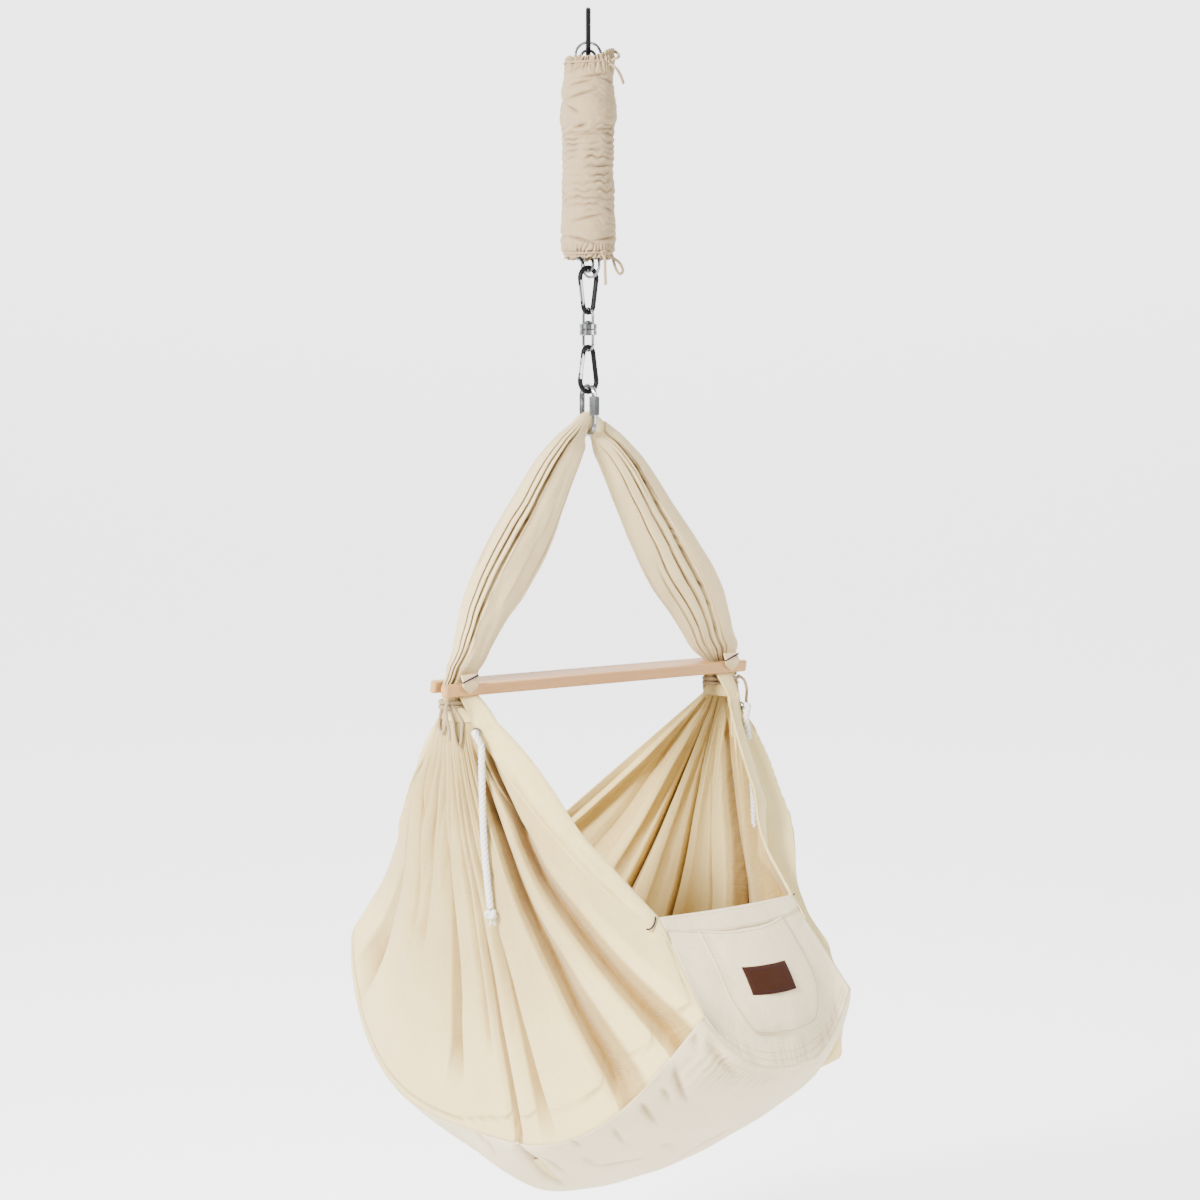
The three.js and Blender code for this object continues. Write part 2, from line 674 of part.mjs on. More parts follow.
function addSwivel() {
  const half = swivelCollarDiameter / 2;
  const edge = swivelWire / 4;
  const collar = (top) => turned([
    [0, top], [half - edge, top], [half, top - edge],
    [half, top - swivelCollarHeight + edge], [half - edge, top - swivelCollarHeight], [0, top - swivelCollarHeight],
  ], 20);
  const upperCollarTop = swivelMiddle + clearance / 2 + swivelCollarHeight;
  const lowerCollarTop = swivelMiddle - clearance / 2;
  const bore = swivelStemDiameter / 2 + clearance;
  const boreTool = new THREE.CylinderGeometry(bore, bore, swivelCollarHeight + overrun, 16)
    .rotateX(Math.PI / 2).translate(0, 0, upperCollarTop - swivelCollarHeight / 2);
  const topBow = bow(swivelTopLevel, 1, upperCollarTop - swivelCollarHeight / 2);
  add("swivel_top_eye", cut(joined(topBow, collar(upperCollarTop)), boreTool), steelBright);
  const headFoot = upperCollarTop + clearance;
  const stem = turned([
    [0, headFoot + swivelHeadHeight], [swivelHeadDiameter / 4, headFoot + swivelHeadHeight],
    [swivelHeadDiameter / 2, headFoot + swivelHeadHeight / 2], [swivelHeadDiameter / 2, headFoot],
    [swivelStemDiameter / 2, headFoot], [swivelStemDiameter / 2, lowerCollarTop - swivelCollarHeight / 2],
    [0, lowerCollarTop - swivelCollarHeight / 2],
  ], 16);
  const footBow = bow(swivelFootLevel, -1, lowerCollarTop - swivelCollarHeight / 2);
  add("swivel_bottom_eye", joined(footBow, collar(lowerCollarTop), stem), steelBright);
}

addSwivel();

// Quick link: an oval rod with a gap in its front leg, and the long nut that closes it
function addQuickLink() {
  const topBend = linkTopLevel - linkRadius;
  const footBend = linkFootLevel + linkRadius;
  const nutTop = topBend - nutMargin;
  const gapTop = nutTop - nutLap;
  const front = -linkRadius;
  const path = [
    vec(0, front, gapTop - linkGap),
    ...arc(vec(0, 0, footBend), linkRadius, Math.PI, 2 * Math.PI, 12, acrossY, upZ),
    ...arc(vec(0, 0, topBend), linkRadius, 0, Math.PI, 12, acrossY, upZ),
    vec(0, front, gapTop),
  ];
  add("quick_link_body", tube(path, linkWire, 10), steelBright);
  const bore = linkWire / 2 + clearance;
  const corner = nutWidth / Math.sqrt(3);
  const hexagon = new THREE.CylinderGeometry(corner, corner, nutLength, 6)
    .rotateY(Math.PI / 6).rotateX(Math.PI / 2);
  const rounding = turned([
    [0, nutLength / 2], [nutWidth / 2, nutLength / 2], [corner, nutLength / 2 - nutMargin],
    [corner, nutMargin - nutLength / 2], [nutWidth / 2, -nutLength / 2], [0, -nutLength / 2],
  ], 18);
  const blank = toGeometry(toSolid(hexagon).intersect(toSolid(rounding)));
  const boreTool = new THREE.CylinderGeometry(bore, bore, nutLength + overrun, 14).rotateX(Math.PI / 2);
  const nut = cut(blank, boreTool).translate(0, front, nutTop - nutLength / 2);
  add("quick_link_nut", nut, steelBright);
}

addQuickLink();

// Spreader bar: a plan outline with an open slot at each end, rolled a little towards the front
const slotEnd = gatherHalfSpan - gatherWidth / 2 - clearance;

function barGeometry() {
  const half = barLength / 2 - barEdge;
  const side = barDepth / 2 - barEdge;
  const slot = barSlotWidth / 2 + barEdge;
  const prong = (side - slot) / 2;
  const outline = new THREE.Shape();
  outline.moveTo(-half + prong, -side);
  outline.lineTo(half - prong, -side);
  outline.absarc(half - prong, -side + prong, prong, -Math.PI / 2, Math.PI / 2, false);
  outline.lineTo(slotEnd - barEdge + slot, -slot);
  outline.absarc(slotEnd - barEdge + slot, 0, slot, -Math.PI / 2, Math.PI / 2, true);
  outline.lineTo(half - prong, slot);
  outline.absarc(half - prong, side - prong, prong, -Math.PI / 2, Math.PI / 2, false);
  outline.lineTo(-half + prong, side);
  outline.absarc(-half + prong, side - prong, prong, Math.PI / 2, 3 * Math.PI / 2, false);
  outline.lineTo(-slotEnd + barEdge - slot, slot);
  outline.absarc(-slotEnd + barEdge - slot, 0, slot, Math.PI / 2, 3 * Math.PI / 2, true);
  outline.lineTo(-half + prong, -slot);
  outline.absarc(-half + prong, -side + prong, prong, Math.PI / 2, 3 * Math.PI / 2, false);
  const bar = new THREE.ExtrudeGeometry(outline, {
    depth: barThickness - 2 * barEdge,
    curveSegments: 6,
    bevelEnabled: true,
    bevelThickness: barEdge,
    bevelSize: barEdge,
    bevelSegments: 1,
  });
  return outward(bar.translate(0, 0, barEdge - barThickness / 2).rotateX(barRoll));
}

add("spreader_bar", barGeometry(), beech).position.set(barShift, 0, barLevel);

// Section of a gathered cloth bundle, squarer than an ellipse
function squircle(angle, halfWidth, halfDepth) {
  const power = 2 / 2.4;
  const along = (value) => Math.sign(value) * Math.abs(value) ** power;
  return [halfWidth * along(Math.cos(angle)), halfDepth * along(Math.sin(angle))];
}

// Sling: one cloth over the quick link and down to both slots of the bar.
// Stations of one leg: outer and inner edge as shares of the half span and of the drop,
// the depth as a share of the deepest, and how much of the fold shows.
const slingTop = slingSeat + slingBundleHeight;
const slingDrop = slingTop - slingFoot;
const slingLegShares = [
  [0.058, 0.012, 0.027, 0.106, 0.3, 0],
  [0.123, 0.047, 0.033, 0.155, 0.45, 0.3],
  [0.21, 0.09, 0.058, 0.192, 0.66, 0.7],
  [0.358, 0.173, 0.123, 0.295, 0.87, 1],
  [0.5, 0.282, 0.206, 0.4, 0.96, 1],
  [0.61, 0.37, 0.272, 0.487, 1, 1],
  [0.715, 0.474, 0.362, 0.58, 1, 1],
  [0.8, 0.58, 0.478, 0.671, 0.96, 1],
  [0.858, 0.672, 0.6, 0.75, 0.87, 1],
  [0.91, 0.776, 0.7, 0.832, 0.74, 0.9],
  [0.965, 0.868, 0.772, 0.9, 0.52, 0.5],
];
const slingSides = 20;
const bandSides = { left: [15, 16, 17, 18, 19], right: [11, 12, 13, 14, 15] };
const bundleShare = 0.1;

function slingStations() {
  const half = slingBundleWidth / 2;
  const inLink = [-1, 0, 1].map((place) => ({
    outer: vec(place * linkWire * 0.6, 0, slingTop - Math.abs(place) * clearance),
    inner: vec(place * linkWire * 0.6, 0, slingSeat),
    depth: half,
    offset: slingBundleOffset,
    fold: 0,
    band: [],
  }));
  const leg = (side) => {
    const band = side < 0 ? bandSides.left : bandSides.right;
    const middle = slingLegShares.map(([outX, outZ, inX, inZ, depth, fold]) => {
      const shift = barShift * outZ;
      return {
        outer: vec(side * outX * gatherHalfSpan + shift, 0, slingTop - outZ * slingDrop),
        inner: vec(side * inX * gatherHalfSpan + shift, 0, slingTop - inZ * slingDrop),
        depth: (depth * slingDepth) / 2,
        offset: outX < bundleShare ? slingBundleOffset : 0,
        fold,
        band,
      };
    });
    const slot = [barLevel + barHalfHeight + slingFold, slingFoot].map((level) => ({
      outer: vec(side * (gatherHalfSpan + gatherWidth / 2) + barShift, 0, level),
      inner: vec(side * (gatherHalfSpan - gatherWidth / 2) + barShift, 0, level),
      depth: gatherThickness / 2,
      offset: 0,
      fold: 0,
      band,
    }));
    return [...middle, ...slot];
  };
  return [...leg(-1).reverse(), ...inLink, ...leg(1)];
}

// Point of the sling's section at one of its sides, moved outwards by an offset.
// The sides run from the inner edge through the back; those under the band stay flat.
function slingPoint(station, side, outwards = 0) {
  const { outer, inner, depth, offset, fold, band } = station;
  const inwards = inner.clone().sub(outer);
  const halfWidth = inwards.length() / 2;
  const axis = inwards.normalize();
  const centre = outer.clone().add(inner).multiplyScalar(0.5);
  const angle = (2 * Math.PI * side) / slingSides;
  const crease = band.includes(side) ? 0 : fold * slingFold * Math.cos(slingFoldCount * angle);
  const [across, back] = squircle(angle, halfWidth + outwards - Math.abs(crease), depth + outwards + crease);
  return centre.addScaledVector(axis, across).add(vec(0, back + offset, 0));
}

const slingPlan = slingStations();
const sling = loft(slingPlan.map((station) => range(slingSides).map((side) => slingPoint(station, side))));
add("sling", sling, cotton);

// Flat band sewn on the front of each leg, and the pointed tab that laps over the bar
function addSlingBand(name, stations, side) {
  const grid = (outwards) => stations.map((station) => {
    return bandSides[name].map((place) => slingPoint(station, place, outwards));
  });
  add(`sling_band_${name}`, sheet(grid(clearance + bandThickness), grid(clearance)), cotton);
  const outline = new THREE.Shape([
    new THREE.Vector2(-tabWidth / 2, 0), new THREE.Vector2(-tabWidth / 2, tabPoint - tabHeight),
    new THREE.Vector2(0, -tabHeight), new THREE.Vector2(tabWidth / 2, tabPoint - tabHeight),
    new THREE.Vector2(tabWidth / 2, 0),
  ]);
  const tab = new THREE.ExtrudeGeometry(outline, { depth: bandThickness, bevelEnabled: false });
  tab.rotateX(Math.PI / 2).rotateX(barRoll);
  const front = -barDepth / 2 - clearance;
  const place = vec(0, front, barHalfHeight + tabPoint).applyAxisAngle(acrossX, barRoll);
  add(`sling_tab_${name}`, outward(tab), cotton).position
    .set(side * gatherHalfSpan + barShift, place.y, barLevel + place.z);
}

const bandRows = slingLegShares.length - 1;
addSlingBand("left", slingPlan.slice(2, 2 + bandRows), -1);
addSlingBand("right", slingPlan.slice(-2 - bandRows, -2), 1);

// Neck of the bag under each slot, flaring to the front and the back
function neckCurve(side, share) {
  const bulge = side * neckBulge * (1 - share * share);
  return vec(side * gatherHalfSpan + barShift + bulge, (neckSpread / 2) * share, bagTop);
}

function addNeck(name, side) {
  const centre = side * gatherHalfSpan + barShift;
  const waist = tieTurns * (tieRope + tieSpacing) + tieRope + 2 * clearance;
  const levels = [
    [0, gatherWidth / 2, gatherThickness / 2, 0],
    [waist / 2, gatherWidth / 2, neckWaistDepth / 2, 0],
    [waist, gatherWidth / 2, neckWaistDepth / 2, 0],
    [(waist + neckHeight) / 2, gatherWidth * 0.42, neckSpread * 0.34, 0.5],
    [neckHeight, gatherWidth * 0.36, neckSpread / 2 + clothThickness, 1],
  ];
  const count = 28;
  const rings = levels.map(([drop, halfWidth, halfDepth, spread]) => range(count).map((place) => {
    const angle = (2 * Math.PI * place) / count;
    const flute = 1 - 0.12 * spread * Math.cos((count / 2) * angle);
    const [x, y] = squircle(angle, halfWidth * flute, halfDepth);
    return vec(centre + x + side * neckBulge * 0.4 * spread, y, neckTop - drop);
  }));
  add(`neck_${name}`, loft(rings), cotton);
  const turns = range(24 * tieTurns + 1).map((step) => {
    const share = step / 24;
    const angle = 2 * Math.PI * share;
    const reach = clearance + tieRope / 2;
    const [x, y] = squircle(angle, gatherWidth / 2 + reach, neckWaistDepth / 2 + reach);
    return vec(centre + x, y, neckTop - clearance - tieRope / 2 - share * (tieRope + tieSpacing));
  });
  reportLeastGap(`neck_tie_${name}`, turns, tieRope);
  add(`neck_tie_${name}`, tube(turns, tieRope, 6), rope);
}

addNeck("left", -1);
addNeck("right", 1);

// Bag surfaces. Every cloth panel is a sheet whose thickness points at one centre inside the bag,
// so panels that meet at a seam have matching edges.
const towardsInside = (point, distance) => {
  return point.clone().addScaledVector(bagCentre.clone().sub(point).normalize(), distance);
};

function panel(points, thickness = clothThickness, proud = 0) {
  const depthAt = (row, column) => typeof thickness === "function" ? thickness(row, column) : thickness;
  const outer = points.map((line) => line.map((point) => towardsInside(point, -proud)));
  const inner = points.map((line, row) => line.map((point, column) => {
    return towardsInside(point, depthAt(row, column) - proud);
  }));
  return sheet(outer, inner);
}

// Bottom: its keel, side seams and half width along the length, 0 in the middle and 1 at the toe
const keelLevel = (share) => -lerp(bagBottomDrop, bagToeDrop, share ** 1.38);
const seamLevel = (share) => -lerp(bagSideSeamDrop, frontFootDrop, share ** 3.1);
const seamHalfWidth = (share) => lerp(frontFootHalfWidth, bagHalfWidth, (1 - share ** 3.2) ** 0.72);

function bottomPoint(across, along) {
  const share = Math.abs(along);
  const reach = lerp(bagHalfLength, bagCornerReach, across * across);
  const level = lerp(keelLevel(share), seamLevel(share), Math.abs(across) ** 2.5);
  return vec(across * seamHalfWidth(share), along * reach, level);
}

// Front and back panels, from the top edge down to the toe seam
function frontPoint(across, down, way) {
  const reach = frontTopReach + frontTopSag * (1 - across * across);
  const top = vec(across * frontHalfWidth, way * reach, -frontTopDrop);
  const point = top.lerp(bottomPoint(across, way), down);
  const bulge = frontBulge * Math.sin(Math.PI * down) * (1 - across * across);
  return point.add(vec(0, way * bulge, bulge * 0.3));
}

// Sides: boundary from the front panel's corner, down its seam, along the bottom, up to the back corner
const cornerShare = 0.85;

function sideBoundary(side, share) {
  const along = Math.abs(share);
  const way = Math.sign(share) || 1;
  if (along <= cornerShare) {
    return bottomPoint(side, share / cornerShare);
  }
  return frontPoint(side, (1 - along) / (1 - cornerShare), way);
}

// The bag's side surface, without and with its pleats. Between its taut hems the cloth hangs slack,
// so it leaves the neck steeply and flares out towards the seam.
function sidePoint(side, share, down) {
  const from = neckCurve(side, share);
  const to = sideBoundary(side, share);
  const along = Math.abs(share);
  const slack = (share < 0 ? frontSlack : backSlack) * along * (1 - along ** 10);
  const flare = down ** (1 + slack);
  return vec(lerp(from.x, to.x, flare), lerp(from.y, to.y, flare), lerp(from.z, to.z, down));
}

function pleatedPoint(side, share, down) {
  const inside = cornerShare - Math.abs(share);
  const point = sidePoint(side, share, down);
  if (inside <= 0) {
    return point;
  }
  const phase = ((share + cornerShare) / (2 * cornerShare)) * pleatCount;
  const height = Math.cos(2 * Math.PI * phase) * smoothstep(inside, 0, 0.08);
  const depth = pleatDepth * smoothstep(down, 0, 0.3) * smoothstep(0.97 - down, 0, 0.5);
  return towardsInside(point, depth * (0.5 - height));
}

const sideRowShares = [0, 0.02, 0.1, 0.22, 0.37, 0.55, 0.75, 0.91, 1];

function sideColumns(side, down) {
  const near = sidePoint(side, -1, down).distanceTo(sidePoint(side, -1 + 0.01, down)) / 0.01;
  const hem = Math.min((1 - cornerShare) * 0.8, hemWidth / near);
  const middle = range(3 * pleatCount + 1).map((step) => lerp(-cornerShare, cornerShare, step / (3 * pleatCount)));
  return [-1, -1 + hem / 2, -1 + hem, ...middle, 1 - hem, 1 - hem / 2, 1];
}

function sideGrid(side) {
  return sideRowShares.map((row) => {
    const seam = sidePoint(side, 0, 0).distanceTo(sidePoint(side, 0, 1));
    const down = Math.min(row, 1 - seamGap / seam);
    return sideColumns(side, down).map((share) => pleatedPoint(side, share, down));
  });
}

function addBagSide(name, side) {
  const grid = sideGrid(side);
  add(`bag_side_${name}`, panel(grid), cotton);
  const proud = clearance + hemThickness;
  const below = grid.slice(1);
  add(`front_hem_${name}`, panel(below.map((line) => line.slice(0, 3)), hemThickness, proud), cotton);
  add(`back_hem_${name}`, panel(below.map((line) => line.slice(-3)), hemThickness, proud), cotton);
}

addBagSide("left", -1);
addBagSide("right", 1);

const acrossShares = [-1, -0.82, -0.63, -0.32, 0, 0.32, 0.63, 0.82, 1];
const shrunk = (share, half) => share * (1 - seamGap / half);
const alongShares = range(3 * pleatCount + 1).map((step) => lerp(-1, 1, step / (3 * pleatCount)));
const bottomGrid = alongShares.map((along) => acrossShares.map((across) => {
  return bottomPoint(shrunk(across, frontFootHalfWidth), shrunk(along, bagHalfLength));
}));
add("bag_bottom", panel(bottomGrid), cotton);

const frontRowShares = [0, 0.13, 0.3, 0.47, 0.64, 0.82, 1];

function frontGrid(way) {
  return frontRowShares.map((down) => acrossShares.map((across) => {
    return frontPoint(shrunk(across, frontFootHalfWidth), down * (1 - seamGap / frontFootHalfWidth), way);
  }));
}

add("front_panel", panel(frontGrid(-1)), cotton);
add("back_panel", panel(frontGrid(1)), cotton);

// Pocket: the middle of the front panel, its lower corners rounded, and the label sewn on it
function pocketGrid() {
  const grid = frontGrid(-1).slice(1, -1).map((line) => line.slice(2, -2));
  const last = grid.length - 1;
  const end = grid[last].length - 1;
  const chord = grid[last - 1][0].clone().lerp(grid[last][1], 0.5);
  grid[last][0] = chord.lerp(grid[last][0], 1 - pocketCornerShare);
  grid[last][end] = grid[last - 1][end - 1].clone().lerp(grid[last][end], pocketCornerShare);
  return grid;
}

const pocketProud = clearance + pocketThickness;
add("pocket", panel(pocketGrid(), pocketThickness, pocketProud), cottonShade);

const labelDownShare = 0.46;

function labelGrid() {
  const rise = frontPoint(0, 0, -1).distanceTo(frontPoint(0, 1, -1));
  return [-1, 0, 1].map((row) => [-1, -0.5, 0, 0.5, 1].map((column) => {
    const across = (column * labelWidth) / 2 / lerp(frontHalfWidth, frontFootHalfWidth, labelDownShare);
    return frontPoint(across, labelDownShare + (row * labelHeight) / 2 / rise, -1);
  }));
}

add("leather_label", panel(labelGrid(), labelThickness, pocketProud + labelSlack + labelThickness), leather);

// Mattress: lies on the bottom panel, crowned in the middle and thin at its edges
function addMattress() {
  const rows = alongShares.slice(5, -5);
  const columns = acrossShares.slice(1, -1);
  const grid = rows.map((along) => columns.map((across) => {
    const point = bottomPoint(shrunk(across, frontFootHalfWidth), shrunk(along, bagHalfLength));
    return towardsInside(point, clothThickness + clearance);
  }));
  const crown = (row, column) => {
    const across = columns[column] / columns[columns.length - 1];
    const along = rows[row] / rows[rows.length - 1];
    return mattressThickness * lerp(0.4, 1, Math.sqrt((1 - across ** 4) * (1 - along ** 6)));
  };
  add("mattress", panel(grid, crown), foam);
}

addMattress();

// Eyelets in the front hems, and the rope tail with its knot that hangs from each, outside the bag
const eyeletShare = 0.35;
const tailDownShares = [0.1, 0.45];
const tailReach = [48, 72];
const tailSteps = 16;
const tailSlack = 2.6;

function sideShareAt(side, down, reach) {
  let low = -1;
  let high = 0;
  for (const pass of range(24)) {
    const middle = (low + high) / 2;
    const beyond = -sidePoint(side, middle, down).y > reach;
    low = beyond ? middle : low;
    high = beyond ? high : middle;
  }
  return low;
}

function tailStations(side, start, normal) {
  const proud = clearance + hemThickness + tailSlack + tailRope / 2;
  const hanging = range(tailSteps + 1).map((step) => {
    const share = step / tailSteps;
    const down = lerp(tailDownShares[0], tailDownShares[1], share);
    const place = sideShareAt(side, down, lerp(tailReach[0], tailReach[1], share));
    return towardsInside(sidePoint(side, place, down), -proud);
  });
  const away = start.clone().addScaledVector(normal, tailRope);
  const bend = new THREE.CatmullRomCurve3([start, away, hanging[1], hanging[2]]).getPoints(12).slice(5, 9);
  return [start, away, ...bend, ...hanging.slice(2)];
}

function addEyelet(name, side) {
  const grid = sideGrid(side);
  const top = grid[1][1].clone().lerp(grid[1][2], 0.5);
  const below = grid[2][1].clone().lerp(grid[2][2], 0.5);
  const across = grid[1][2].clone().sub(grid[1][1]);
  const normal = below.clone().sub(top).cross(across).normalize();
  const place = top.lerp(below, eyeletShare);
  normal.multiplyScalar(Math.sign(normal.dot(place.clone().sub(bagCentre))));
  const lift = clearance + hemThickness + clearance + eyeletHeight / 2;
  const centre = place.addScaledVector(normal, lift);
  const ring = new THREE.TorusGeometry((eyeletDiameter + eyeletBore) / 4, eyeletHeight / 2, 6, 16);
  ring.applyQuaternion(new THREE.Quaternion().setFromUnitVectors(upZ, normal));
  add(`eyelet_${name}`, outward(ring), steelBright).position.copy(centre);

  const start = centre.clone().addScaledVector(normal, eyeletHeight / 2 + clearance);
  const stations = tailStations(side, start, normal);
  reportLeastGap(`rope_tail_${name}`, stations, tailRope);
  add(`rope_tail_${name}`, tube(stations, tailRope, 8), rope);
  const half = knotLength / 2;
  const wide = knotDiameter / 2;
  const knot = turned([
    [0, half], [tailRope / 2, half], [wide, half / 2], [wide, -half / 2], [tailRope / 2, -half], [0, -half],
  ], 12);
  const end = stations[stations.length - 1];
  const way = end.clone().sub(stations[stations.length - 2]).normalize();
  knot.applyQuaternion(new THREE.Quaternion().setFromUnitVectors(upZ, way));
  add(`rope_knot_${name}`, knot, rope).position.copy(end).addScaledVector(way, clearance + half);
}

addEyelet("left", -1);
addEyelet("right", 1);

export default model;
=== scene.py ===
"""Looks of the hanging baby cradle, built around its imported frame."""

import math

import bpy
from mathutils import Matrix, Vector, noise
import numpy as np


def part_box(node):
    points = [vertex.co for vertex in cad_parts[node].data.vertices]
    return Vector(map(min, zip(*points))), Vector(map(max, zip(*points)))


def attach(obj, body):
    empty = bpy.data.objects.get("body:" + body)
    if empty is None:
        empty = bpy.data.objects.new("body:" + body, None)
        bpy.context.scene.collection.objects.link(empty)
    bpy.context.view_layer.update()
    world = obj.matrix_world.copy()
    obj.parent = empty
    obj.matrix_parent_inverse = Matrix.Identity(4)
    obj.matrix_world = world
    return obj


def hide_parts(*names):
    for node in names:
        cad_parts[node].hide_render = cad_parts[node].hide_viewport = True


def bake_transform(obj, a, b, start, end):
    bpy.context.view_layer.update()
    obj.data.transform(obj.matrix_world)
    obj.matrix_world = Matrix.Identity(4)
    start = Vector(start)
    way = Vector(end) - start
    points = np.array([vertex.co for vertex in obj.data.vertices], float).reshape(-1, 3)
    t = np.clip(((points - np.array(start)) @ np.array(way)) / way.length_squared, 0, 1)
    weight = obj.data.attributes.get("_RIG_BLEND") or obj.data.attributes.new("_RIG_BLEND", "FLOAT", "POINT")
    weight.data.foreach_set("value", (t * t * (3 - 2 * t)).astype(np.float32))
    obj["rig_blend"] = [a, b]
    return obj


bl_info = {
    "name": "Hanging baby cradle",
    "version": (1, 0, 0),
    "blender": (4, 5, 0),
    "location": "View3D > Sidebar > Cradle",
    "description": "Cloth, cords, wood and metal of a hanging baby cradle",
    "category": "Object",
}

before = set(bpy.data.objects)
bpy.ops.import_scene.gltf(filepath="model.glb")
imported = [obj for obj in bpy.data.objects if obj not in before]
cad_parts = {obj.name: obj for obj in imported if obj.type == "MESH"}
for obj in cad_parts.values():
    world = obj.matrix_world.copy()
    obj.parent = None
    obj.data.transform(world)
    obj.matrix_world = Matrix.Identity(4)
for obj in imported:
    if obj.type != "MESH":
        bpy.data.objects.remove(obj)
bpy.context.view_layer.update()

# Sizes in millimetres, the same as the frame's
MM = 0.001
SIDES = ((-1, "left"), (1, "right"))
OUT = Vector((0, -1, 0))
GATHER_SPAN = 243
BAR_SHIFT = 14
BAG_TOP = -973.6
NECK_TOP = -941.3
NECK_HALF = 37
NECK_BOW = 16
BAG_CENTRE = Vector((0, 0, -1200))
SLING_TOP = -559.2
SLING_FOOT = -941
COVER_TOP = -66
COVER_LENGTH = 280
COVER_RADIUS = 37

# Shares of a side from the middle of the neck: where its edge turns from the bottom seam to the end panel,
# and how much slack it has towards the front and towards the back
CORNER = 0.85
FRONT_SLACK = 0.8
BACK_SLACK = 0.25


def lerp(start, end, share):
    return start + (end - start) * share


def ease(value, low, high):
    share = min(max((value - low) / (high - low), 0), 1)
    return share * share * (3 - 2 * share)


def mound(value, middle, reach):
    """1 at the middle, down to 0 at its reach on either side."""
    return max(1 - ((value - middle) / reach) ** 2, 0)


def window(value, start, rise, fall, end):
    """0 before start and after end, 1 from rise to fall."""
    return ease(value, start, rise) * (1 - ease(value, fall, end))


def speckle(x, y, z=0):
    return noise.noise(Vector((x, y, z)))


def crease(phase, sharpness=0.55):
    """1 in the narrow valley at each whole number, 0 on the round back of a fold."""
    return 1 - abs(math.sin(math.pi * phase)) ** sharpness


def lean(phase, skew):
    """A fold that lies over to one side: steep into its valley, easy out of it."""
    return math.floor(phase) + (phase - math.floor(phase)) ** skew


def steps(count):
    return [index / (count - 1) for index in range(count)]


def spaced(start, end, count):
    return [lerp(start, end, share) for share in steps(count)]


def turns(count, start=0, end=2 * math.pi):
    """Even angles round a ring that closes on itself."""
    return [start + (end - start) * index / count for index in range(count)]


# Shader graphs, in metres

THREAD_PITCH = 0.0011
AWAY = Vector((0.656, 0.755, 0))
ASIDE = Vector((0.755, -0.656, 0))


class Value:
    """A shader socket that takes part in Python sums."""

    def __init__(self, graph, socket):
        self.graph = graph
        self.socket = socket

    def combined(self, operation, first, second):
        return self.graph.node("ShaderNodeMath", {"operation": operation}, {0: first, 1: second})

    def __add__(self, other):
        return self.combined("ADD", self, other)

    def __radd__(self, other):
        return self.combined("ADD", other, self)

    def __sub__(self, other):
        return self.combined("SUBTRACT", self, other)

    def __rsub__(self, other):
        return self.combined("SUBTRACT", other, self)

    def __mul__(self, other):
        return self.combined("MULTIPLY", self, other)

    def __rmul__(self, other):
        return self.combined("MULTIPLY", other, self)

    def __pow__(self, other):
        return self.combined("POWER", self, other)

    def sine(self):
        return self.graph.node("ShaderNodeMath", {"operation": "SINE"}, {0: self})

    def clamped(self):
        return self.graph.node("ShaderNodeClamp", {}, {"Value": self})


class Graph:
    """The nodes of one material, made one by one."""

    def __init__(self, name):
        self.material = bpy.data.materials.new(name)
        self.material.use_nodes = True
        self.tree = self.material.node_tree
        self.tree.nodes.clear()

    def node(self, kind, settings, inputs, output=0):
        made = self.tree.nodes.new(kind)
        for key, setting in settings.items():
            if key == "stops":
                while len(made.color_ramp.elements) < len(setting):
                    made.color_ramp.elements.new(0.5)
                for element, (place, colour) in zip(made.color_ramp.elements, setting):
                    element.position = place
                    element.color = (*colour, 1)
            else:
                setattr(made, key, setting)
        for key, value in inputs.items():
            if isinstance(value, Value):
                self.tree.links.new(value.socket, made.inputs[key])
            else:
                made.inputs[key].default_value = value
        return Value(self, made.outputs[output]) if made.outputs else None

    def blend(self, factor, first, second):
        first, second = [(*c, 1) if isinstance(c, tuple) and len(c) == 3 else c for c in (first, second)]
        return self.node("ShaderNodeMix", {"data_type": "RGBA"}, {0: factor, 6: first, 7: second}, 2)

    def scaled(self, vector, scale):
        scale = scale if isinstance(scale, tuple) else (scale,) * 3
        return self.node("ShaderNodeVectorMath", {"operation": "MULTIPLY"}, {0: vector, 1: scale})

    def grain(self, vector, scale, detail=4.0, roughness=0.55):
        return self.node("ShaderNodeTexNoise", {}, {
            "Vector": vector, "Scale": scale, "Detail": detail, "Roughness": roughness})

    def attribute(self, name, output="Fac"):
        return self.node("ShaderNodeAttribute", {"attribute_name": name}, {}, output)

    def place(self):
        return self.node("ShaderNodeTexCoord", {}, {}, "Object")

    def ramp(self, value, dark, bright):
        """0 up to one value, 1 from the other on."""
        stops = [(dark, (0, 0, 0)), (bright, (1, 1, 1))]
        return self.node("ShaderNodeValToRGB", {"stops": stops}, {"Fac": value})

    def parts(self, vector):
        """The x and y of a vector."""
        split = self.node("ShaderNodeSeparateXYZ", {}, {"Vector": vector})
        return [Value(self, split.socket.node.outputs[name]) for name in "XY"]

    def surface(self, colour, roughness, height=None, depth=0.001, **constants):
        inputs = {"Base Color": colour, "Roughness": roughness}
        if height is not None:
            bump = {"Height": height, "Distance": depth}
            inputs["Normal"] = self.node("ShaderNodeBump", {}, bump, "Normal")
        inputs.update({key.replace("_", " "): value for key, value in constants.items()})
        shader = self.node("ShaderNodeBsdfPrincipled", {}, inputs)
        self.node("ShaderNodeOutputMaterial", {}, {"Surface": shader})
        return self.material


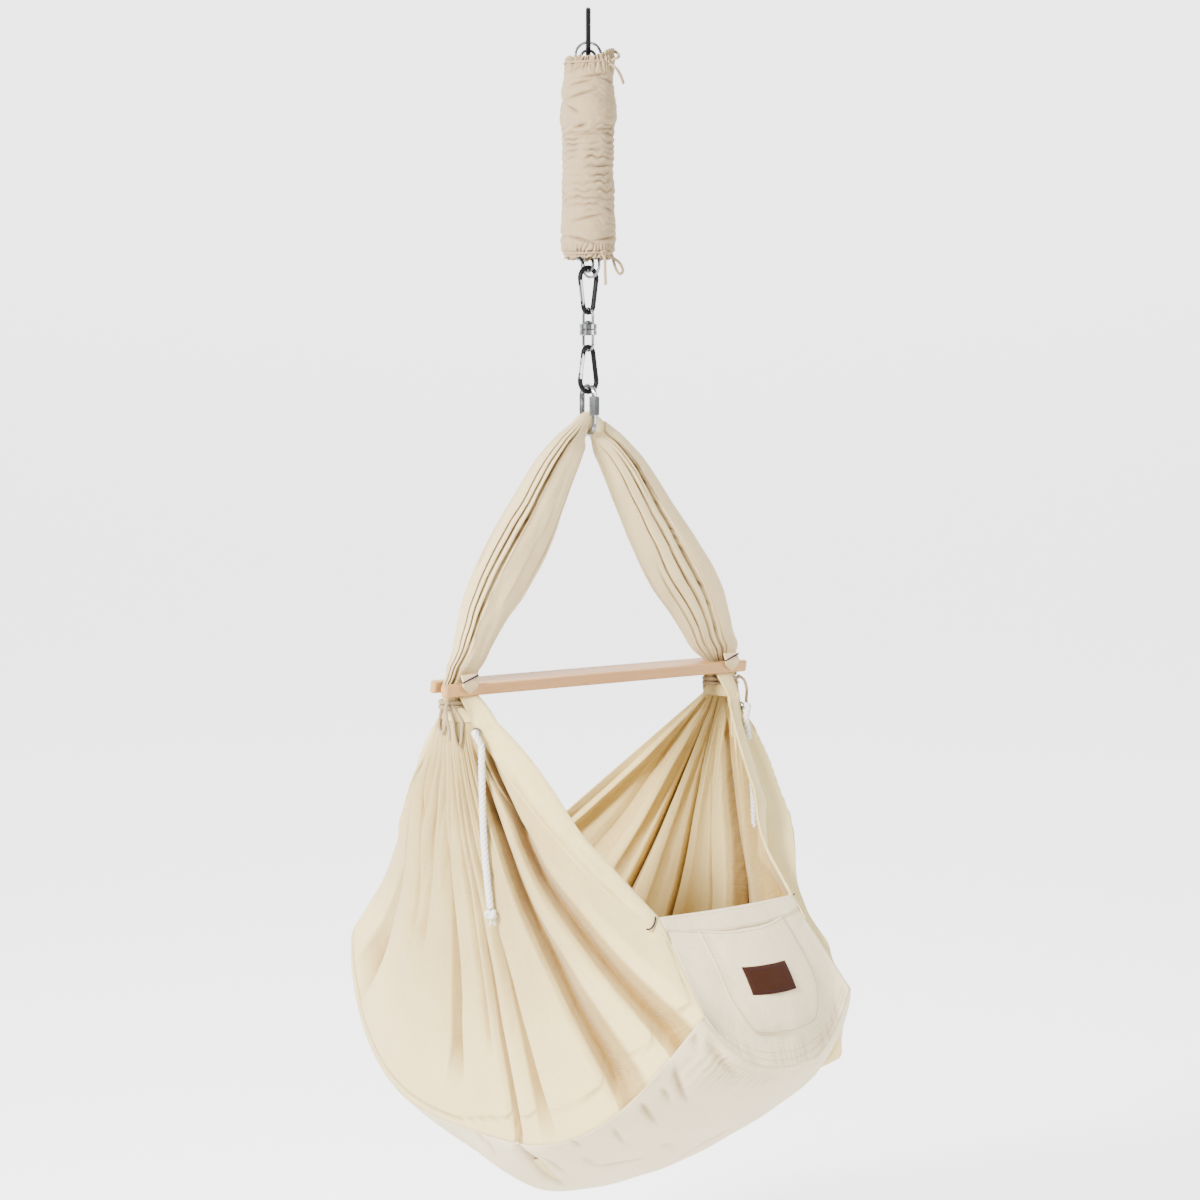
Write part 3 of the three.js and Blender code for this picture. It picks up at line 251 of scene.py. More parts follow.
def cotton(name, light, fold, crinkle=1.0, slubs=0.35, wrong_side=False):
    """Plain-woven cotton: threads both ways, slubs, small crinkles, and warm painted shade in the valleys of
    its folds.
    """
    g = Graph(name)
    flat = g.attribute("cloth", "Vector")
    # Painted shade: the valley attribute mixes in the fold tone; the wrong side takes its negative values.
    valley = (g.attribute("valley") * (-1.0 if wrong_side else 1.0)).clamped()
    across, along = g.parts(flat)
    thread = 2 * math.pi / THREAD_PITCH
    weave = (across * thread).sine() * (along * thread).sine()
    warp = g.grain(g.scaled(flat, (900.0, 25.0, 1.0)), 1.0, 3)
    weft = g.grain(g.scaled(flat, (25.0, 900.0, 1.0)), 1.0, 3)
    slub = warp + weft - 1.0
    mottle = g.grain(g.place(), 14.0, 5)
    small = g.grain(g.place(), 75.0, 6, 0.62)
    wide = g.grain(g.place(), 26.0, 3, 0.5)
    # Painted shade from the valleys, with the cloth's own slubs and mottle.
    painted_shade_and_slubs = (valley + slub * slubs + (mottle - 0.5) * 0.35).clamped()
    colour = g.blend(painted_shade_and_slubs, light, fold)
    height = weave * 0.1 + slub * 0.35 + small * (1.4 * crinkle) + wide * (2.6 * crinkle)
    return g.surface(colour, 0.86 + (mottle - 0.5) * 0.16, height, 0.0011, Sheen_Weight=0.18,
                     Sheen_Roughness=0.5, Specular_IOR_Level=0.25)


def beech(name, light, dark):
    """Oiled beech: long grain along the bar, short dark flecks."""
    g = Graph(name)
    place = g.place()
    long_grain = g.grain(g.scaled(place, (5.0, 70.0, 70.0)), 1.0, 7, 0.6)
    rings = g.grain(g.scaled(place, (1.2, 16.0, 30.0)), 1.0, 4, 0.5)
    flecks = g.grain(g.scaled(place, (110.0, 700.0, 700.0)), 1.0, 2)
    fleck = g.ramp(flecks, 0.6, 0.68)
    tone = (long_grain * 0.9 + rings * 0.7 - 0.45 + fleck * 0.3).clamped()
    colour = g.blend(tone, light, dark)
    height = long_grain * 0.5 - fleck * 0.5
    return g.surface(colour, 0.5 + (long_grain - 0.5) * 0.25, height, 0.0004, Coat_Weight=0.06,
                     Coat_Roughness=0.4)


def plated(name, tone, worn, roughness, wear=0.5, metallic=1.0):
    """Plated or drawn metal: fine draw marks, faint smears, brighter where it rubs."""
    g = Graph(name)
    place = g.place()
    marks = g.grain(g.scaled(place, (900.0, 900.0, 160.0)), 1.0, 4)
    smear = g.grain(place, 55.0, 5)
    rubbed = g.ramp(smear, 0.55, 0.75)
    colour = g.blend((rubbed * wear).clamped(), tone, worn)
    rough = (roughness + (smear - 0.5) * 0.25 + (marks - 0.5) * 0.12).clamped()
    return g.surface(colour, rough, marks, 0.00008, Metallic=metallic,
                     Specular_IOR_Level=0.5 if metallic else 0.07)


def cotton_cord(name, light, dark, sheen=0.2):
    """Twisted cotton: fibres across the strands, with painted shade between them."""
    g = Graph(name)
    valley = g.attribute("valley")
    fuzz = g.grain(g.place(), 900.0, 4)
    # Painted shade: the valley attribute, 1 between the strands, mixes in the dark tone.
    tone = (valley * 0.9 + (fuzz - 0.5) * 0.5).clamped()
    return g.surface(g.blend(tone, light, dark), 0.9, fuzz, 0.0006, Sheen_Weight=sheen, Sheen_Roughness=0.5,
                     Specular_IOR_Level=0.15)


def clear_coated_cable(name, steel, gap):
    """Braided steel strands under a clear sleeve, with painted shade in the gaps between them."""
    g = Graph(name)
    flat = g.attribute("cloth", "Vector")
    round_it, along = g.parts(flat)
    right = (round_it * 6.0 + along * 1600.0).sine()
    left = (round_it * 6.0 - along * 1600.0).sine()
    strand = ((right * left) * 0.5 + 0.5).clamped()
    # Painted shade: the dark gap tone between the strands.
    return g.surface(g.blend(strand, gap, steel), 0.35 - strand * 0.12, strand, 0.0004,
                     Metallic=0.75, Coat_Weight=1.0, Coat_Roughness=0.04)


def tanned_leather(name, tone, dark):
    """Smooth tanned leather: pebbled grain, darker round its cut edge."""
    g = Graph(name)
    cells = g.node("ShaderNodeTexVoronoi", {"feature": "DISTANCE_TO_EDGE"},
                   {"Vector": g.place(), "Scale": 1100.0})
    cloud = g.grain(g.place(), 60.0, 6)
    edge = g.attribute("valley")
    tint = ((cloud - 0.45) * 1.6 + edge * 0.8).clamped()
    return g.surface(g.blend(tint, tone, dark), 0.6 + cloud * 0.2, cells ** 0.4, 0.00018,
                     Specular_IOR_Level=0.1)


def matte_floor(name, tone):
    """Pale matt floor that glows as a lit studio wall does, less so under the cradle."""
    g = Graph(name)
    drift = g.grain(g.place(), 2.0, 3)
    colour = g.blend(drift * 0.25, tone, tuple(c * 0.96 for c in tone))
    x, y = g.parts(g.place())
    behind = x * AWAY.x + y * AWAY.y
    glow = g.blend(((behind - 0.1) * 2.0).clamped(), (0.22, 0.21, 0.2), (1, 1, 1))
    return g.surface(colour, 0.9, Emission_Color=glow, Emission_Strength=1.9)


# Meshes


def piece(name, points, faces, materials, cloth=None, valley=None):
    """A smooth mesh of points in millimetres. Attributes hold the cloth's flat places and its valley tint,
    which is painted shade on cloth and cords and the dark cut edge on a leather label.
    """
    mesh = bpy.data.meshes.new(name)
    mesh.from_pydata([Vector(p) * MM for p in points], [], faces)
    mesh.polygons.foreach_set("use_smooth", [True] * len(mesh.polygons))
    if cloth is not None:
        mesh.attributes.new("cloth", "FLOAT_VECTOR", "POINT").data.foreach_set(
            "vector", [value for place in cloth for value in (place[0] * MM, place[1] * MM, 0)])
    if valley is not None:
        mesh.attributes.new("valley", "FLOAT", "POINT").data.foreach_set("value", list(valley))
    made = bpy.data.objects.new(name, mesh)
    for material in materials:
        mesh.materials.append(material)
    bpy.context.scene.collection.objects.link(made)
    return made


def grid_faces(rows, columns, closed=False, flip=False):
    faces = []
    for row in range(rows - 1):
        for column in range(columns if closed else columns - 1):
            after = (column + 1) % columns
            face = (row * columns + column, row * columns + after,
                    (row + 1) * columns + after, (row + 1) * columns + column)
            faces.append(face[::-1] if flip else face)
    return faces


def tube_faces(first, rings, sides, flip=True):
    """The faces of a tube with both ends shut, whose points start at first."""
    order = 1 if flip else -1
    caps = [list(range(sides))[::order], list(range((rings - 1) * sides, rings * sides))[::-order]]
    return [[first + corner for corner in face] for face in grid_faces(rings, sides, True, flip) + caps]


def listed(grid):
    """The points and the valleys of a grid of (point, valley) pairs."""
    return [point for row in grid for point, valley in row], [valley for row in grid for point, valley in row]


def cloth_grid(name, grid, materials, flat=None, closed=False, thickness=1.6, centre=BAG_CENTRE):
    """A sheet through a grid of (point, valley) pairs, its right side away from a centre."""
    points, valleys = listed(grid)
    rows, columns = len(grid), len(grid[0])
    middle = (rows // 2) * columns + columns // 2
    here, aside, below = points[middle], points[middle + 1], points[middle + columns]
    reference = centre(here) if callable(centre) else centre
    flip = (aside - here).cross(below - here).dot(here - reference) < 0
    if flat is None:
        flat = (path_length([point for point, valley in grid[rows // 2]]),
                path_length([row[columns // 2][0] for row in grid]))
    cloth = [(flat[0] * column / (columns - 1), flat[1] * row / (rows - 1))
             for row in range(rows) for column in range(columns)]
    made = piece(name, points, grid_faces(rows, columns, closed, flip), materials, cloth, valleys)
    if thickness:
        solid = made.modifiers.new("cloth thickness", "SOLIDIFY")
        solid.thickness = thickness * MM
        solid.offset = -1
        solid.material_offset = len(materials) - 1
    return made


def in_front(point):
    """The middle for a sheet whose right side is to the front."""
    return point + Vector((0, 30, 0))


def outward(points):
    """Points of the bag, each with the way out from its middle."""
    return [(point, point - BAG_CENTRE) for point in points]


def transported(path):
    """Directions along a path, and two across it that don't twist."""
    ways = []
    for index in range(len(path)):
        before, after = path[max(index - 1, 0)], path[min(index + 1, len(path) - 1)]
        ways.append((after - before).normalized())
    across = ways[0].orthogonal().normalized()
    frames = []
    for way in ways:
        across = (across - way * across.dot(way)).normalized()
        frames.append((way, across, way.cross(across)))
    return frames


def respaced(path, step):
    lengths = [0]
    for before, after in zip(path, path[1:]):
        lengths.append(lengths[-1] + (after - before).length)
    count = max(int(lengths[-1] / step), 2)
    spaced, index = [], 0
    for number in range(count + 1):
        place = lengths[-1] * number / count
        while index < len(path) - 2 and lengths[index + 1] < place:
            index += 1
        share = (place - lengths[index]) / max(lengths[index + 1] - lengths[index], 1e-9)
        spaced.append(path[index].lerp(path[index + 1], min(share, 1)))
    return spaced


def through(a, b, c, d, s):
    """A smooth curve from b to c that comes from a and goes on to d."""
    return 0.5 * (2 * b + (c - a) * s + (2 * a - 5 * b + 4 * c - d) * s * s
                  + (3 * b - a - 3 * c + d) * s ** 3)


def smooth_path(places, step=1.5):
    """A smooth curve through places, at an even step."""
    points = [Vector(p) for p in places]
    ends = [points[0] * 2 - points[1], *points, points[-1] * 2 - points[-2]]
    curve = []
    for index in range(len(points) - 1):
        curve += [through(*ends[index:index + 4], part / 12) for part in range(12)]
    return respaced([*curve, points[-1]], step)


def path_length(path):
    return sum((after - before).length for before, after in zip(path, path[1:]))


# Depth of the valleys between a cord's strands, as a share of its radius
LOBE_VALLEY = 0.66


def strand(name, path, diameter, material, lobes=0, pitch=14, sides=16, closed=False):
    """A cord, wire or cable along a path. With lobes it is twisted from as many strands."""
    points, cloth, valleys = [], [], []
    travelled = 0
    frames = transported(path)
    for index, (centre, (way, across, over)) in enumerate(zip(path, frames)):
        travelled += (centre - path[index - 1]).length if index else 0
        for turn in turns(sides):
            lobe = abs(math.cos(lobes / 2 * (turn - 2 * math.pi * travelled / pitch))) if lobes else 1
            reach = diameter / 2 * lerp(LOBE_VALLEY, 1, lobe ** 0.6)
            points.append(centre + across * (reach * math.cos(turn)) + over * (reach * math.sin(turn)))
            cloth.append((turn * 1000, travelled))
            # Painted shade between the strands: 1 in the valley between two, 0 on a strand's crown.
            valleys.append(1 - lobe)
    faces = grid_faces(len(path), sides, True, True) if closed else tube_faces(0, len(path), sides)
    return piece(name, points, faces, [material], cloth, valleys)


# Sections of one stitch: place along it and width, as shares of the whole
STITCH_RINGS = ((-0.5, 0.35), (-0.3, 1), (0.3, 1), (0.5, 0.35))
STITCH_SIDES = 5
STITCH_RISE = 0.15


def stitches(name, runs, material, pitch=4.2, length=2.7, width=0.75):
    """Rows of thread along runs of (point, outward direction) pairs."""
    points, faces = [], []
    for run in runs:
        line = [point for point, out in run]
        total = path_length(line)
        travelled = index = 0
        place = pitch / 2
        while place < total - pitch / 2:
            while index < len(line) - 2 and travelled + (line[index + 1] - line[index]).length < place:
                travelled += (line[index + 1] - line[index]).length
                index += 1
            way = (line[index + 1] - line[index]).normalized()
            out = run[index][1].normalized()
            aside = way.cross(out).normalized()
            middle = line[index] + way * (place - travelled)
            faces += tube_faces(len(points), len(STITCH_RINGS), STITCH_SIDES, False)
            for along, size in STITCH_RINGS:
                reach = width / 2 * size
                points += [middle + way * (along * length) + aside * (reach * math.cos(angle))
                           + out * (reach * math.sin(angle) + STITCH_RISE) for angle in turns(STITCH_SIDES)]
            place += pitch
    return piece(name, points, faces, [material], None, [0.0] * len(points))


# The bag's surface, as the frame has it, and the folds that only show here


def toward_inside(point, distance):
    return point + (BAG_CENTRE - point).normalized() * distance


def neck_centre(side):
    return side * GATHER_SPAN + BAR_SHIFT


def neck_edge(side, share):
    x = neck_centre(side) + side * NECK_BOW * (1 - share * share)
    return Vector((x, NECK_HALF * share, BAG_TOP))


def bottom_place(across, along):
    share = abs(along)
    keel = -lerp(1645, 1400, share ** 1.38)
    seam = -lerp(1530, 1322, share ** 3.1)
    half = lerp(132, 205, max(1 - share ** 3.2, 0) ** 0.72)
    return Vector((across * half, along * lerp(402, 376, across * across),
                   lerp(keel, seam, abs(across) ** 2.5)))


def front_place(across, down, way=-1):
    top = Vector((across * 120, way * (278 + 12 * (1 - across * across)), -1213))
    point = top.lerp(bottom_place(across, way), down)
    bulge = 24 * math.sin(math.pi * down) * (1 - across * across)
    return point + Vector((0, way * bulge, bulge * 0.3))


def side_edge(side, share):
    along, way = abs(share), 1 if share > 0 else -1
    if along <= CORNER:
        return bottom_place(side, share / CORNER)
    return front_place(side, (1 - along) / (1 - CORNER), way)


# Where each side stands off that surface: middle and reach along it, middle and reach down it, and its
# shift in x and y
SIDE_BULGES = {
    -1: [(-1.0, 0.05, 0.06, 0.55, 20, -20), (0.85, 0.5, 0.25, 0.32, -16, 4),
         (0.85, 0.4, 0.72, 0.26, 12, 0)],
    1: [(-1.0, 0.05, 0.2, 0.7, -24, 0), (-0.88, 0.16, 0.3, 0.42, 6, 0),
        (-0.85, 0.25, 0.74, 0.26, -26, 8)],
}


def side_place(side, share, down):
    """A place on a side. Between its taut hems the cloth hangs slack and flares out to the seam."""
    start, end, along = neck_edge(side, share), side_edge(side, share), abs(share)
    slack = (FRONT_SLACK if share < 0 else BACK_SLACK) * along * max(1 - along ** 10, 0)
    flare = max(down, 0) ** (1 + slack)
    point = Vector((lerp(start.x, end.x, flare), lerp(start.y, end.y, flare), lerp(start.z, end.z, down)))
    for middle, reach, level, height, x, y in SIDE_BULGES[side]:
        swell = mound(share, middle, reach) * mound(down, level, height)
        point += Vector((x, y, 0)) * swell ** 1.5
    return point


# Main folds of each side of the bag: place beside the neck and at the seam, depth (negative where it is a
# fold of the inner side), reach towards the back and towards the front, and where down the cloth it
# begins and ends
SIDE_FOLDS = {
    -1: [
        (0.95, 0.93, 0.4, 0.04, 0.03, 0.02, 0.9), (0.86, 0.71, 0.8, 0.13, 0.04, 0.02, 1.0),
        (0.72, 0.49, 0.62, 0.10, 0.05, 0.02, 0.68), (0.55, 0.58, 0.3, 0.05, 0.05, 0.0, 0.35),
        (0.44, 0.37, 0.6, 0.10, 0.05, 0.02, 0.66), (0.27, 0.06, 1.15, 0.15, 0.028, 0.02, 0.93),
        (0.05, -0.13, 0.6, 0.05, 0.03, 0.02, 0.85), (-0.08, -0.22, 0.95, 0.05, 0.028, 0.05, 1.1),
        (-0.26, -0.375, 1.35, 0.10, 0.022, 0.03, 1.02), (-0.45, -0.5, 0.5, 0.05, 0.04, 0.0, 0.34),
        (-0.62, -0.6, 0.5, 0.04, 0.03, 0.0, 0.3), (-0.75, -0.64, 1.3, 0.035, 0.13, 0.03, 1.08),
        (-0.862, -0.83, 0.6, 0.02, 0.025, 0.02, 0.44), (-0.94, -0.79, 1.2, 0.035, 0.07, 0.03, 1.1),
        (-0.966, -0.955, 0.3, 0.014, 0.008, 0.03, 0.88),
    ],
    1: [
        (0.95, 0.93, 0.35, 0.03, 0.04, 0.02, 0.9), (0.87, 0.79, -0.3, 0.05, 0.10, 0.03, 1.0),
        (0.75, 0.7, 0.6, 0.07, 0.06, 0.02, 0.9), (0.66, 0.6, -0.85, 0.028, 0.06, 0.02, 1.0),
        (0.52, 0.47, 0.45, 0.07, 0.06, 0.0, 0.8), (0.44, 0.32, -0.85, 0.026, 0.06, 0.02, 1.0),
        (0.25, 0.16, 0.4, 0.06, 0.06, 0.0, 0.8), (0.22, 0.0, -0.55, 0.02, 0.025, 0.02, 1.0),
        (0.05, -0.16, -1.35, 0.03, 0.26, 0.02, 1.05), (-0.55, -0.66, -1.3, 0.2, 0.2, 0.03, 1.05),
        (-0.83, -0.87, -0.9, 0.1, 0.05, 0.03, 0.98), (-0.94, -0.93, 0.5, 0.03, 0.03, 0.0, 0.8),
    ],
}


def folded(place, plus, minus):
    """The section of one fold: 1 in its sharp valley, easing out on either side."""
    gap = place / plus if place > 0 else -place / minus
    return max(1 - gap, 0) ** 1.7


def pleat_wander(side, share):
    return 0.6 * speckle(share * 2.6, 1.3, 5 * side)


def neck_pleat(side, share):
    """The fine pleats at the top of a side, as they run up into the neck."""
    return crease(share * 14 + 3 * pleat_wander(side, share), 0.6)


def panel_seam(share):
    """How far down a side the bottom panel is stitched to it. The seam rises over the front corner."""
    return 0.982 - 0.05 * mound(share, -0.44, 0.5)


def fan_fold(side, share, down, depth):
    """How far the side is folded in at a place, and how much painted shade it gets in a valley of its outer
    side, or, where that is negative, of its inner side."""
    drift = 0.012 * speckle(share * 4, down * 3.4, 7 * side)
    sunk = valley = inner_shade = 0
    for top, foot, size, plus, minus, start, end in SIDE_FOLDS[side]:
        place = share + drift - lerp(top, foot, ease(down, 0, 0.55))
        fold = folded(place, plus, minus) if -minus < place < plus else 0
        if fold:
            fade = window(down, start - 0.02, start + 0.12, end - 0.12, end)
            narrow = lerp(0.45, 1, ease(down, 0, 0.3))
            sunk += depth * size * fade * narrow * fold
            # Painted shade across the fold, darkest in its valley; on the inner side where the fold's size is
            # negative.
            tint = 0.75 * ease(fold, 0.2, 0.36) + 0.25 * ease(fold, 0.5, 0.95)
            fold_shade = min(abs(size), 1) * fade * tint
            valley, inner_shade = (max(valley, fold_shade), inner_shade) if size > 0 else (valley, max(inner_shade, fold_shade))
    inside = ease(0.976 - abs(share), 0, 0.02)
    fine = neck_pleat(side, share) * (1 - ease(down, 0.04, 0.4))
    middle = crease(share * 9.5 + 2 * pleat_wander(side, share) + 0.3, 0.6)
    middle *= window(down, 0.02, 0.12, 0.25, 0.62) * (0.35 if side > 0 else 1)
    sway = speckle(share * 5, down * 4, 2 + side) * 6 * window(down, 0.2, 0.5, 0.85, 1)
    ripple = speckle(share * 13, down * 9, 6 + side) * 1.8 * window(down, 0.25, 0.6, 0.9, 1)
    pleats = 4.4 * fine * lerp(0.4, 1, ease(down, 0, 0.05)) + 3.0 * middle
    held = 1 - ease(down, 0.985, 1)
    gathered_in = max(1 - abs(down - panel_seam(share)) / 0.006, 0)
    sunk = 1.2 * gathered_in + inside * held * (sunk + pleats + sway + ripple)
    # Painted shade in the fine pleats at the neck and in the pleats below them.
    gathered = 0.9 * fine * fine + 0.35 * middle
    valley, inner_shade = [inside * min(max(fold_shade, 0) + gathered, 1) for fold_shade in (valley, inner_shade)]
    # Painted shade over the front part of the right side's inner face, lighter on one painted lit ridge.
    if side > 0:
        shaded = ease(lerp(0.08, -0.15, ease(down, 0, 0.55)) - share, 0, 0.05)
        lit = 0.35 * folded(share + 0.4, 0.1, 0.1)
        inner_shade = max(inner_shade, 0.7 * shaded * (1 - lit) * inside)
    # Painted warm tint over the upper part of the side, for light glowing through the cloth, and painted
    # shade along the seam.
    glow = 0.38 * (1 - ease(down, 0.5, 0.97)) + 0.45 * gathered_in
    return sunk, max(valley, glow) if valley >= inner_shade else -inner_shade


def fan_place(side, share, down, depth, proud=0):
    """A place on a pleated side, proud of it by so much, and its painted shade."""
    sunk, valley = fan_fold(side, share, down, depth)
    return toward_inside(side_place(side, share, down), sunk - proud), valley


# Settings that a user would change


def tone(name, description, colour):
    return bpy.props.FloatVectorProperty(name=name, description=description, subtype="COLOR", default=colour)


class CradleCloth(bpy.types.PropertyGroup):
    light: tone("Cotton", "Unbleached cotton in full light", (0.80, 0.63, 0.275))
    # Painted shade: the warm dark tone mixed into the cotton in the valleys of its folds.
    fold: tone("Cotton in folds", "Warmer tone in the valleys of the folds", (0.30, 0.165, 0.03))
    # Painted shade: the dark tone in the crevices of the sling's folds and the cover's wrinkles.
    crevice: tone("Cotton in crevices", "Dark tone between the sling's pressed folds", (0.15, 0.075, 0.024))
    inside: tone("Cotton inside", "The cloth's wrong side inside the bag", (0.82, 0.63, 0.26))
    sling: tone("Sling cotton", "Cotton of the sling and its tabs", (0.72, 0.55, 0.28))
    # The panels and the sides are one cotton; the sides' warmer light tone is painted light glowing through
    # the cloth from inside the bag.
    panel: tone("Panel cotton", "Paler cotton of the bottom and the end panels", (0.82, 0.68, 0.43))
    cover: tone("Cover cotton", "Cotton of the spring cover", (0.37, 0.27, 0.145))
    thread: tone("Thread", "Sewing thread of the seams", (0.50, 0.37, 0.20))
    tack: tone("Tack thread", "Dark thread of the bar tacks", (0.035, 0.02, 0.04))
    pleat_depth: bpy.props.FloatProperty(
        name="Pleat depth", description="Depth of the bag's main folds", unit="LENGTH", default=0.03)
    hem_width: bpy.props.FloatProperty(
        name="Hem width", description="Width of the hems on the bag's sides", unit="LENGTH", default=0.038)


class CradleTrim(bpy.types.PropertyGroup):
    wood: tone("Beech", "Oiled beech of the spreader bar", (0.56, 0.30, 0.105))
    wood_dark: tone("Beech grain", "Darker grain of the spreader bar", (0.36, 0.17, 0.055))
    black: tone("Black lacquer", "Lacquer of the carabiner bodies", (0.006, 0.006, 0.007))
    zinc: tone("Zinc plating", "Plating of the gates, swivel and quick link", (0.24, 0.245, 0.255))
    spring: tone("Spring wire", "Oiled spring steel", (0.11, 0.115, 0.12))
    rope: tone("Cord", "White cotton cords", (0.86, 0.84, 0.80))
    leather: tone("Leather", "Tanned leather of the label", (0.036, 0.010, 0.0035))


def colour_of(context, name):
    groups = (context.scene.cradle_cloth, context.scene.cradle_trim)
    return next(tuple(getattr(group, name)) for group in groups if hasattr(group, name))


def cotton_of(context, name, light="light", fold="fold", crinkle=1.0, slubs=0.35, wrong_side=False):
    known = bpy.data.materials.get(name)
    return known or cotton(name, colour_of(context, light), colour_of(context, fold), crinkle, slubs,
                           wrong_side)


def bag_cloths(context, outside="light"):
    return [cotton_of(context, "bag cotton" if outside == "light" else f"{outside} cotton", outside),
            cotton_of(context, "bag cotton inside", "inside", "fold", 0.8, 0.55, True)]


def thread_of(context):
    known = bpy.data.materials.get("sewing thread")
    return known or cotton_cord("sewing thread", colour_of(context, "thread"), (0.3, 0.2, 0.1))


def tack_of(context):
    known = bpy.data.materials.get("tack thread")
    return known or cotton_cord("tack thread", colour_of(context, "tack"), (0.01, 0.008, 0.012), 0.0)


def fitted(made, *nodes, body="cradle", slot="cotton"):
    """A piece that rides a body and shows in place of the frame's nodes."""
    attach(made, body)
    if nodes:
        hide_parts(*nodes)
    return made


BEVEL_ANGLE = math.radians(35)
SHARP_ANGLE = math.radians(42)


def dress(names, material, bevel):
    """A better finish on CAD pieces that stay as they are."""
    for name in names:
        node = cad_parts[name]
        node.data.materials.clear()
        node.data.materials.append(material)
        node.data.polygons.foreach_set("use_smooth", [True] * len(node.data.polygons))
        rounded = node.modifiers.new("worn edges", "BEVEL")
        rounded.width = bevel * MM
        rounded.segments = 2
        rounded.limit_method = "ANGLE"
        rounded.angle_limit = BEVEL_ANGLE
        rounded.harden_normals = False
        sharp = node.modifiers.new("smooth by angle", "WEIGHTED_NORMAL")
        sharp.keep_sharp = True
        attributes = node.data.attributes
        edges = attributes.get("sharp_edge") or attributes.new("sharp_edge", "BOOLEAN", "EDGE")
        edges.data.foreach_set("value", sharp_edges(node.data))


def sharp_edges(mesh):
    """True for each edge where the surface turns by more than the sharp angle."""
    beside = {}
    for polygon in mesh.polygons:
        for key in polygon.edge_keys:
            beside.setdefault(key, []).append(polygon.normal)
    pairs = [beside.get(tuple(sorted(edge.vertices)), []) for edge in mesh.edges]
    return [len(pair) == 2 and pair[0].angle(pair[1], 0) > SHARP_ANGLE for pair in pairs]


# The studio: level of the floor, where its wall stands and how high, the bend between them, and half its
# width; area lights by name, place, size and power
FLOOR_LEVEL, FLOOR_FRONT = -1950, -9000
WALL, WALL_TOP, BEND = 8000, 17000, 2400
HALF_WIDTH = 20000
LIGHTS = (
    ("key light", (-2900, -350, 650), 700, 430),
    ("fill light", (700, -3300, 100), 1500, 95),
    ("rim light", (1900, 1700, 2300), 1400, 90),
)
LIGHTS_AIM = Vector((0, 0, -1.0))
WORLD_STRENGTH = 0.7
# The photo's camera, its lens and sensor in mm
CAMERA_PLACE = Vector((-2382, -2741, -568))
CAMERA_LENS, CAMERA_SENSOR = 77.8, 36
CAMERA_SHIFT = (0.01, -0.152)


class CRADLE_OT_stage(bpy.types.Operator):
    """Add the floor, the studio light and the camera"""
    bl_idname = "cradle.stage"
    bl_label = "Stage"

    def execute(self, context):
        profile = [(FLOOR_FRONT, FLOOR_LEVEL)]
        profile += [(WALL - BEND + BEND * math.sin(a), FLOOR_LEVEL + BEND * (1 - math.cos(a)))
                    for a in spaced(0, math.pi / 2, 14)]
        profile += [(WALL, WALL_TOP)]
        points = [AWAY * depth + ASIDE * wide + Vector((0, 0, level))
                  for depth, level in profile for wide in (-HALF_WIDTH, 0, HALF_WIDTH)]
        floor = piece("studio_floor", points, grid_faces(len(profile), 3),
                      [matte_floor("pale floor", (0.9, 0.9, 0.9))])
        world = context.scene.world or bpy.data.worlds.new("studio")
        context.scene.world = world
        world.use_nodes = True
        background = world.node_tree.nodes["Background"].inputs
        background["Color"].default_value = (1, 1, 1, 1)
        background["Strength"].default_value = WORLD_STRENGTH
        for name, place, size, power in LIGHTS:
            data = bpy.data.lights.new(name, "AREA")
            data.size = size * MM
            data.energy = power
            lamp = bpy.data.objects.new(name, data)
            lamp.location = Vector(place) * MM
            lamp.rotation_euler = (LIGHTS_AIM - lamp.location).to_track_quat("-Z", "Y").to_euler()
            context.scene.collection.objects.link(lamp)
        data = bpy.data.cameras.new("photograph view")
        data.sensor_width = CAMERA_SENSOR
        data.lens = CAMERA_LENS
        data.clip_end = 50
        data.shift_x, data.shift_y = CAMERA_SHIFT
        camera = bpy.data.objects.new("photograph view", data)
        camera.location = CAMERA_PLACE * MM
        camera.rotation_euler = AWAY.to_track_quat("-Z", "Y").to_euler()
        context.scene.collection.objects.link(camera)
        context.scene.camera = camera
        return {"FINISHED"}


# Ways of the cords in millimetres, as the frame has them
ROPE_TAILS = {
    -1: [(-233.9, -42.1, -987.0), (-239.7, -46.0, -986.2), (-239.1, -47.4, -989.0),
         (-236.7, -48.8, -993.9), (-233.9, -49.9, -999.4), (-232.2, -50.9, -1004.1),
         (-232.7, -52.5, -1013.6), (-234.1, -54.0, -1026.8), (-235.0, -55.6, -1039.2),
         (-235.9, -57.2, -1053.2), (-236.9, -58.8, -1068.7), (-237.7, -60.4, -1085.0),
         (-238.3, -62.0, -1101.2), (-238.6, -63.5, -1116.9), (-238.7, -65.1, -1132.0),
         (-238.5, -66.7, -1146.6), (-238.2, -68.3, -1160.8), (-237.7, -69.9, -1174.7),
         (-237.1, -71.4, -1188.3), (-236.4, -73.0, -1201.8), (-235.7, -74.5, -1215.1)],
    1: [(261.3, -42.3, -987.1), (267.0, -46.4, -986.4), (266.3, -47.7, -989.3), (263.7, -48.9, -994.2),
        (260.8, -49.9, -999.8), (259.0, -50.8, -1004.5), (259.3, -52.4, -1014.0),
        (260.6, -53.9, -1027.2), (261.2, -55.5, -1039.5), (261.7, -57.1, -1053.5),
        (262.2, -58.6, -1069.0), (262.4, -60.2, -1085.3), (262.4, -61.8, -1101.5),
        (262.0, -63.4, -1117.1), (261.3, -65.0, -1132.2), (260.4, -66.5, -1146.7),
        (259.4, -68.1, -1160.9), (258.2, -69.7, -1174.7), (256.9, -71.2, -1188.3),
        (255.5, -72.8, -1201.8), (254.0, -74.4, -1215.1)],
}
ROPE_WIDTH = 9.5
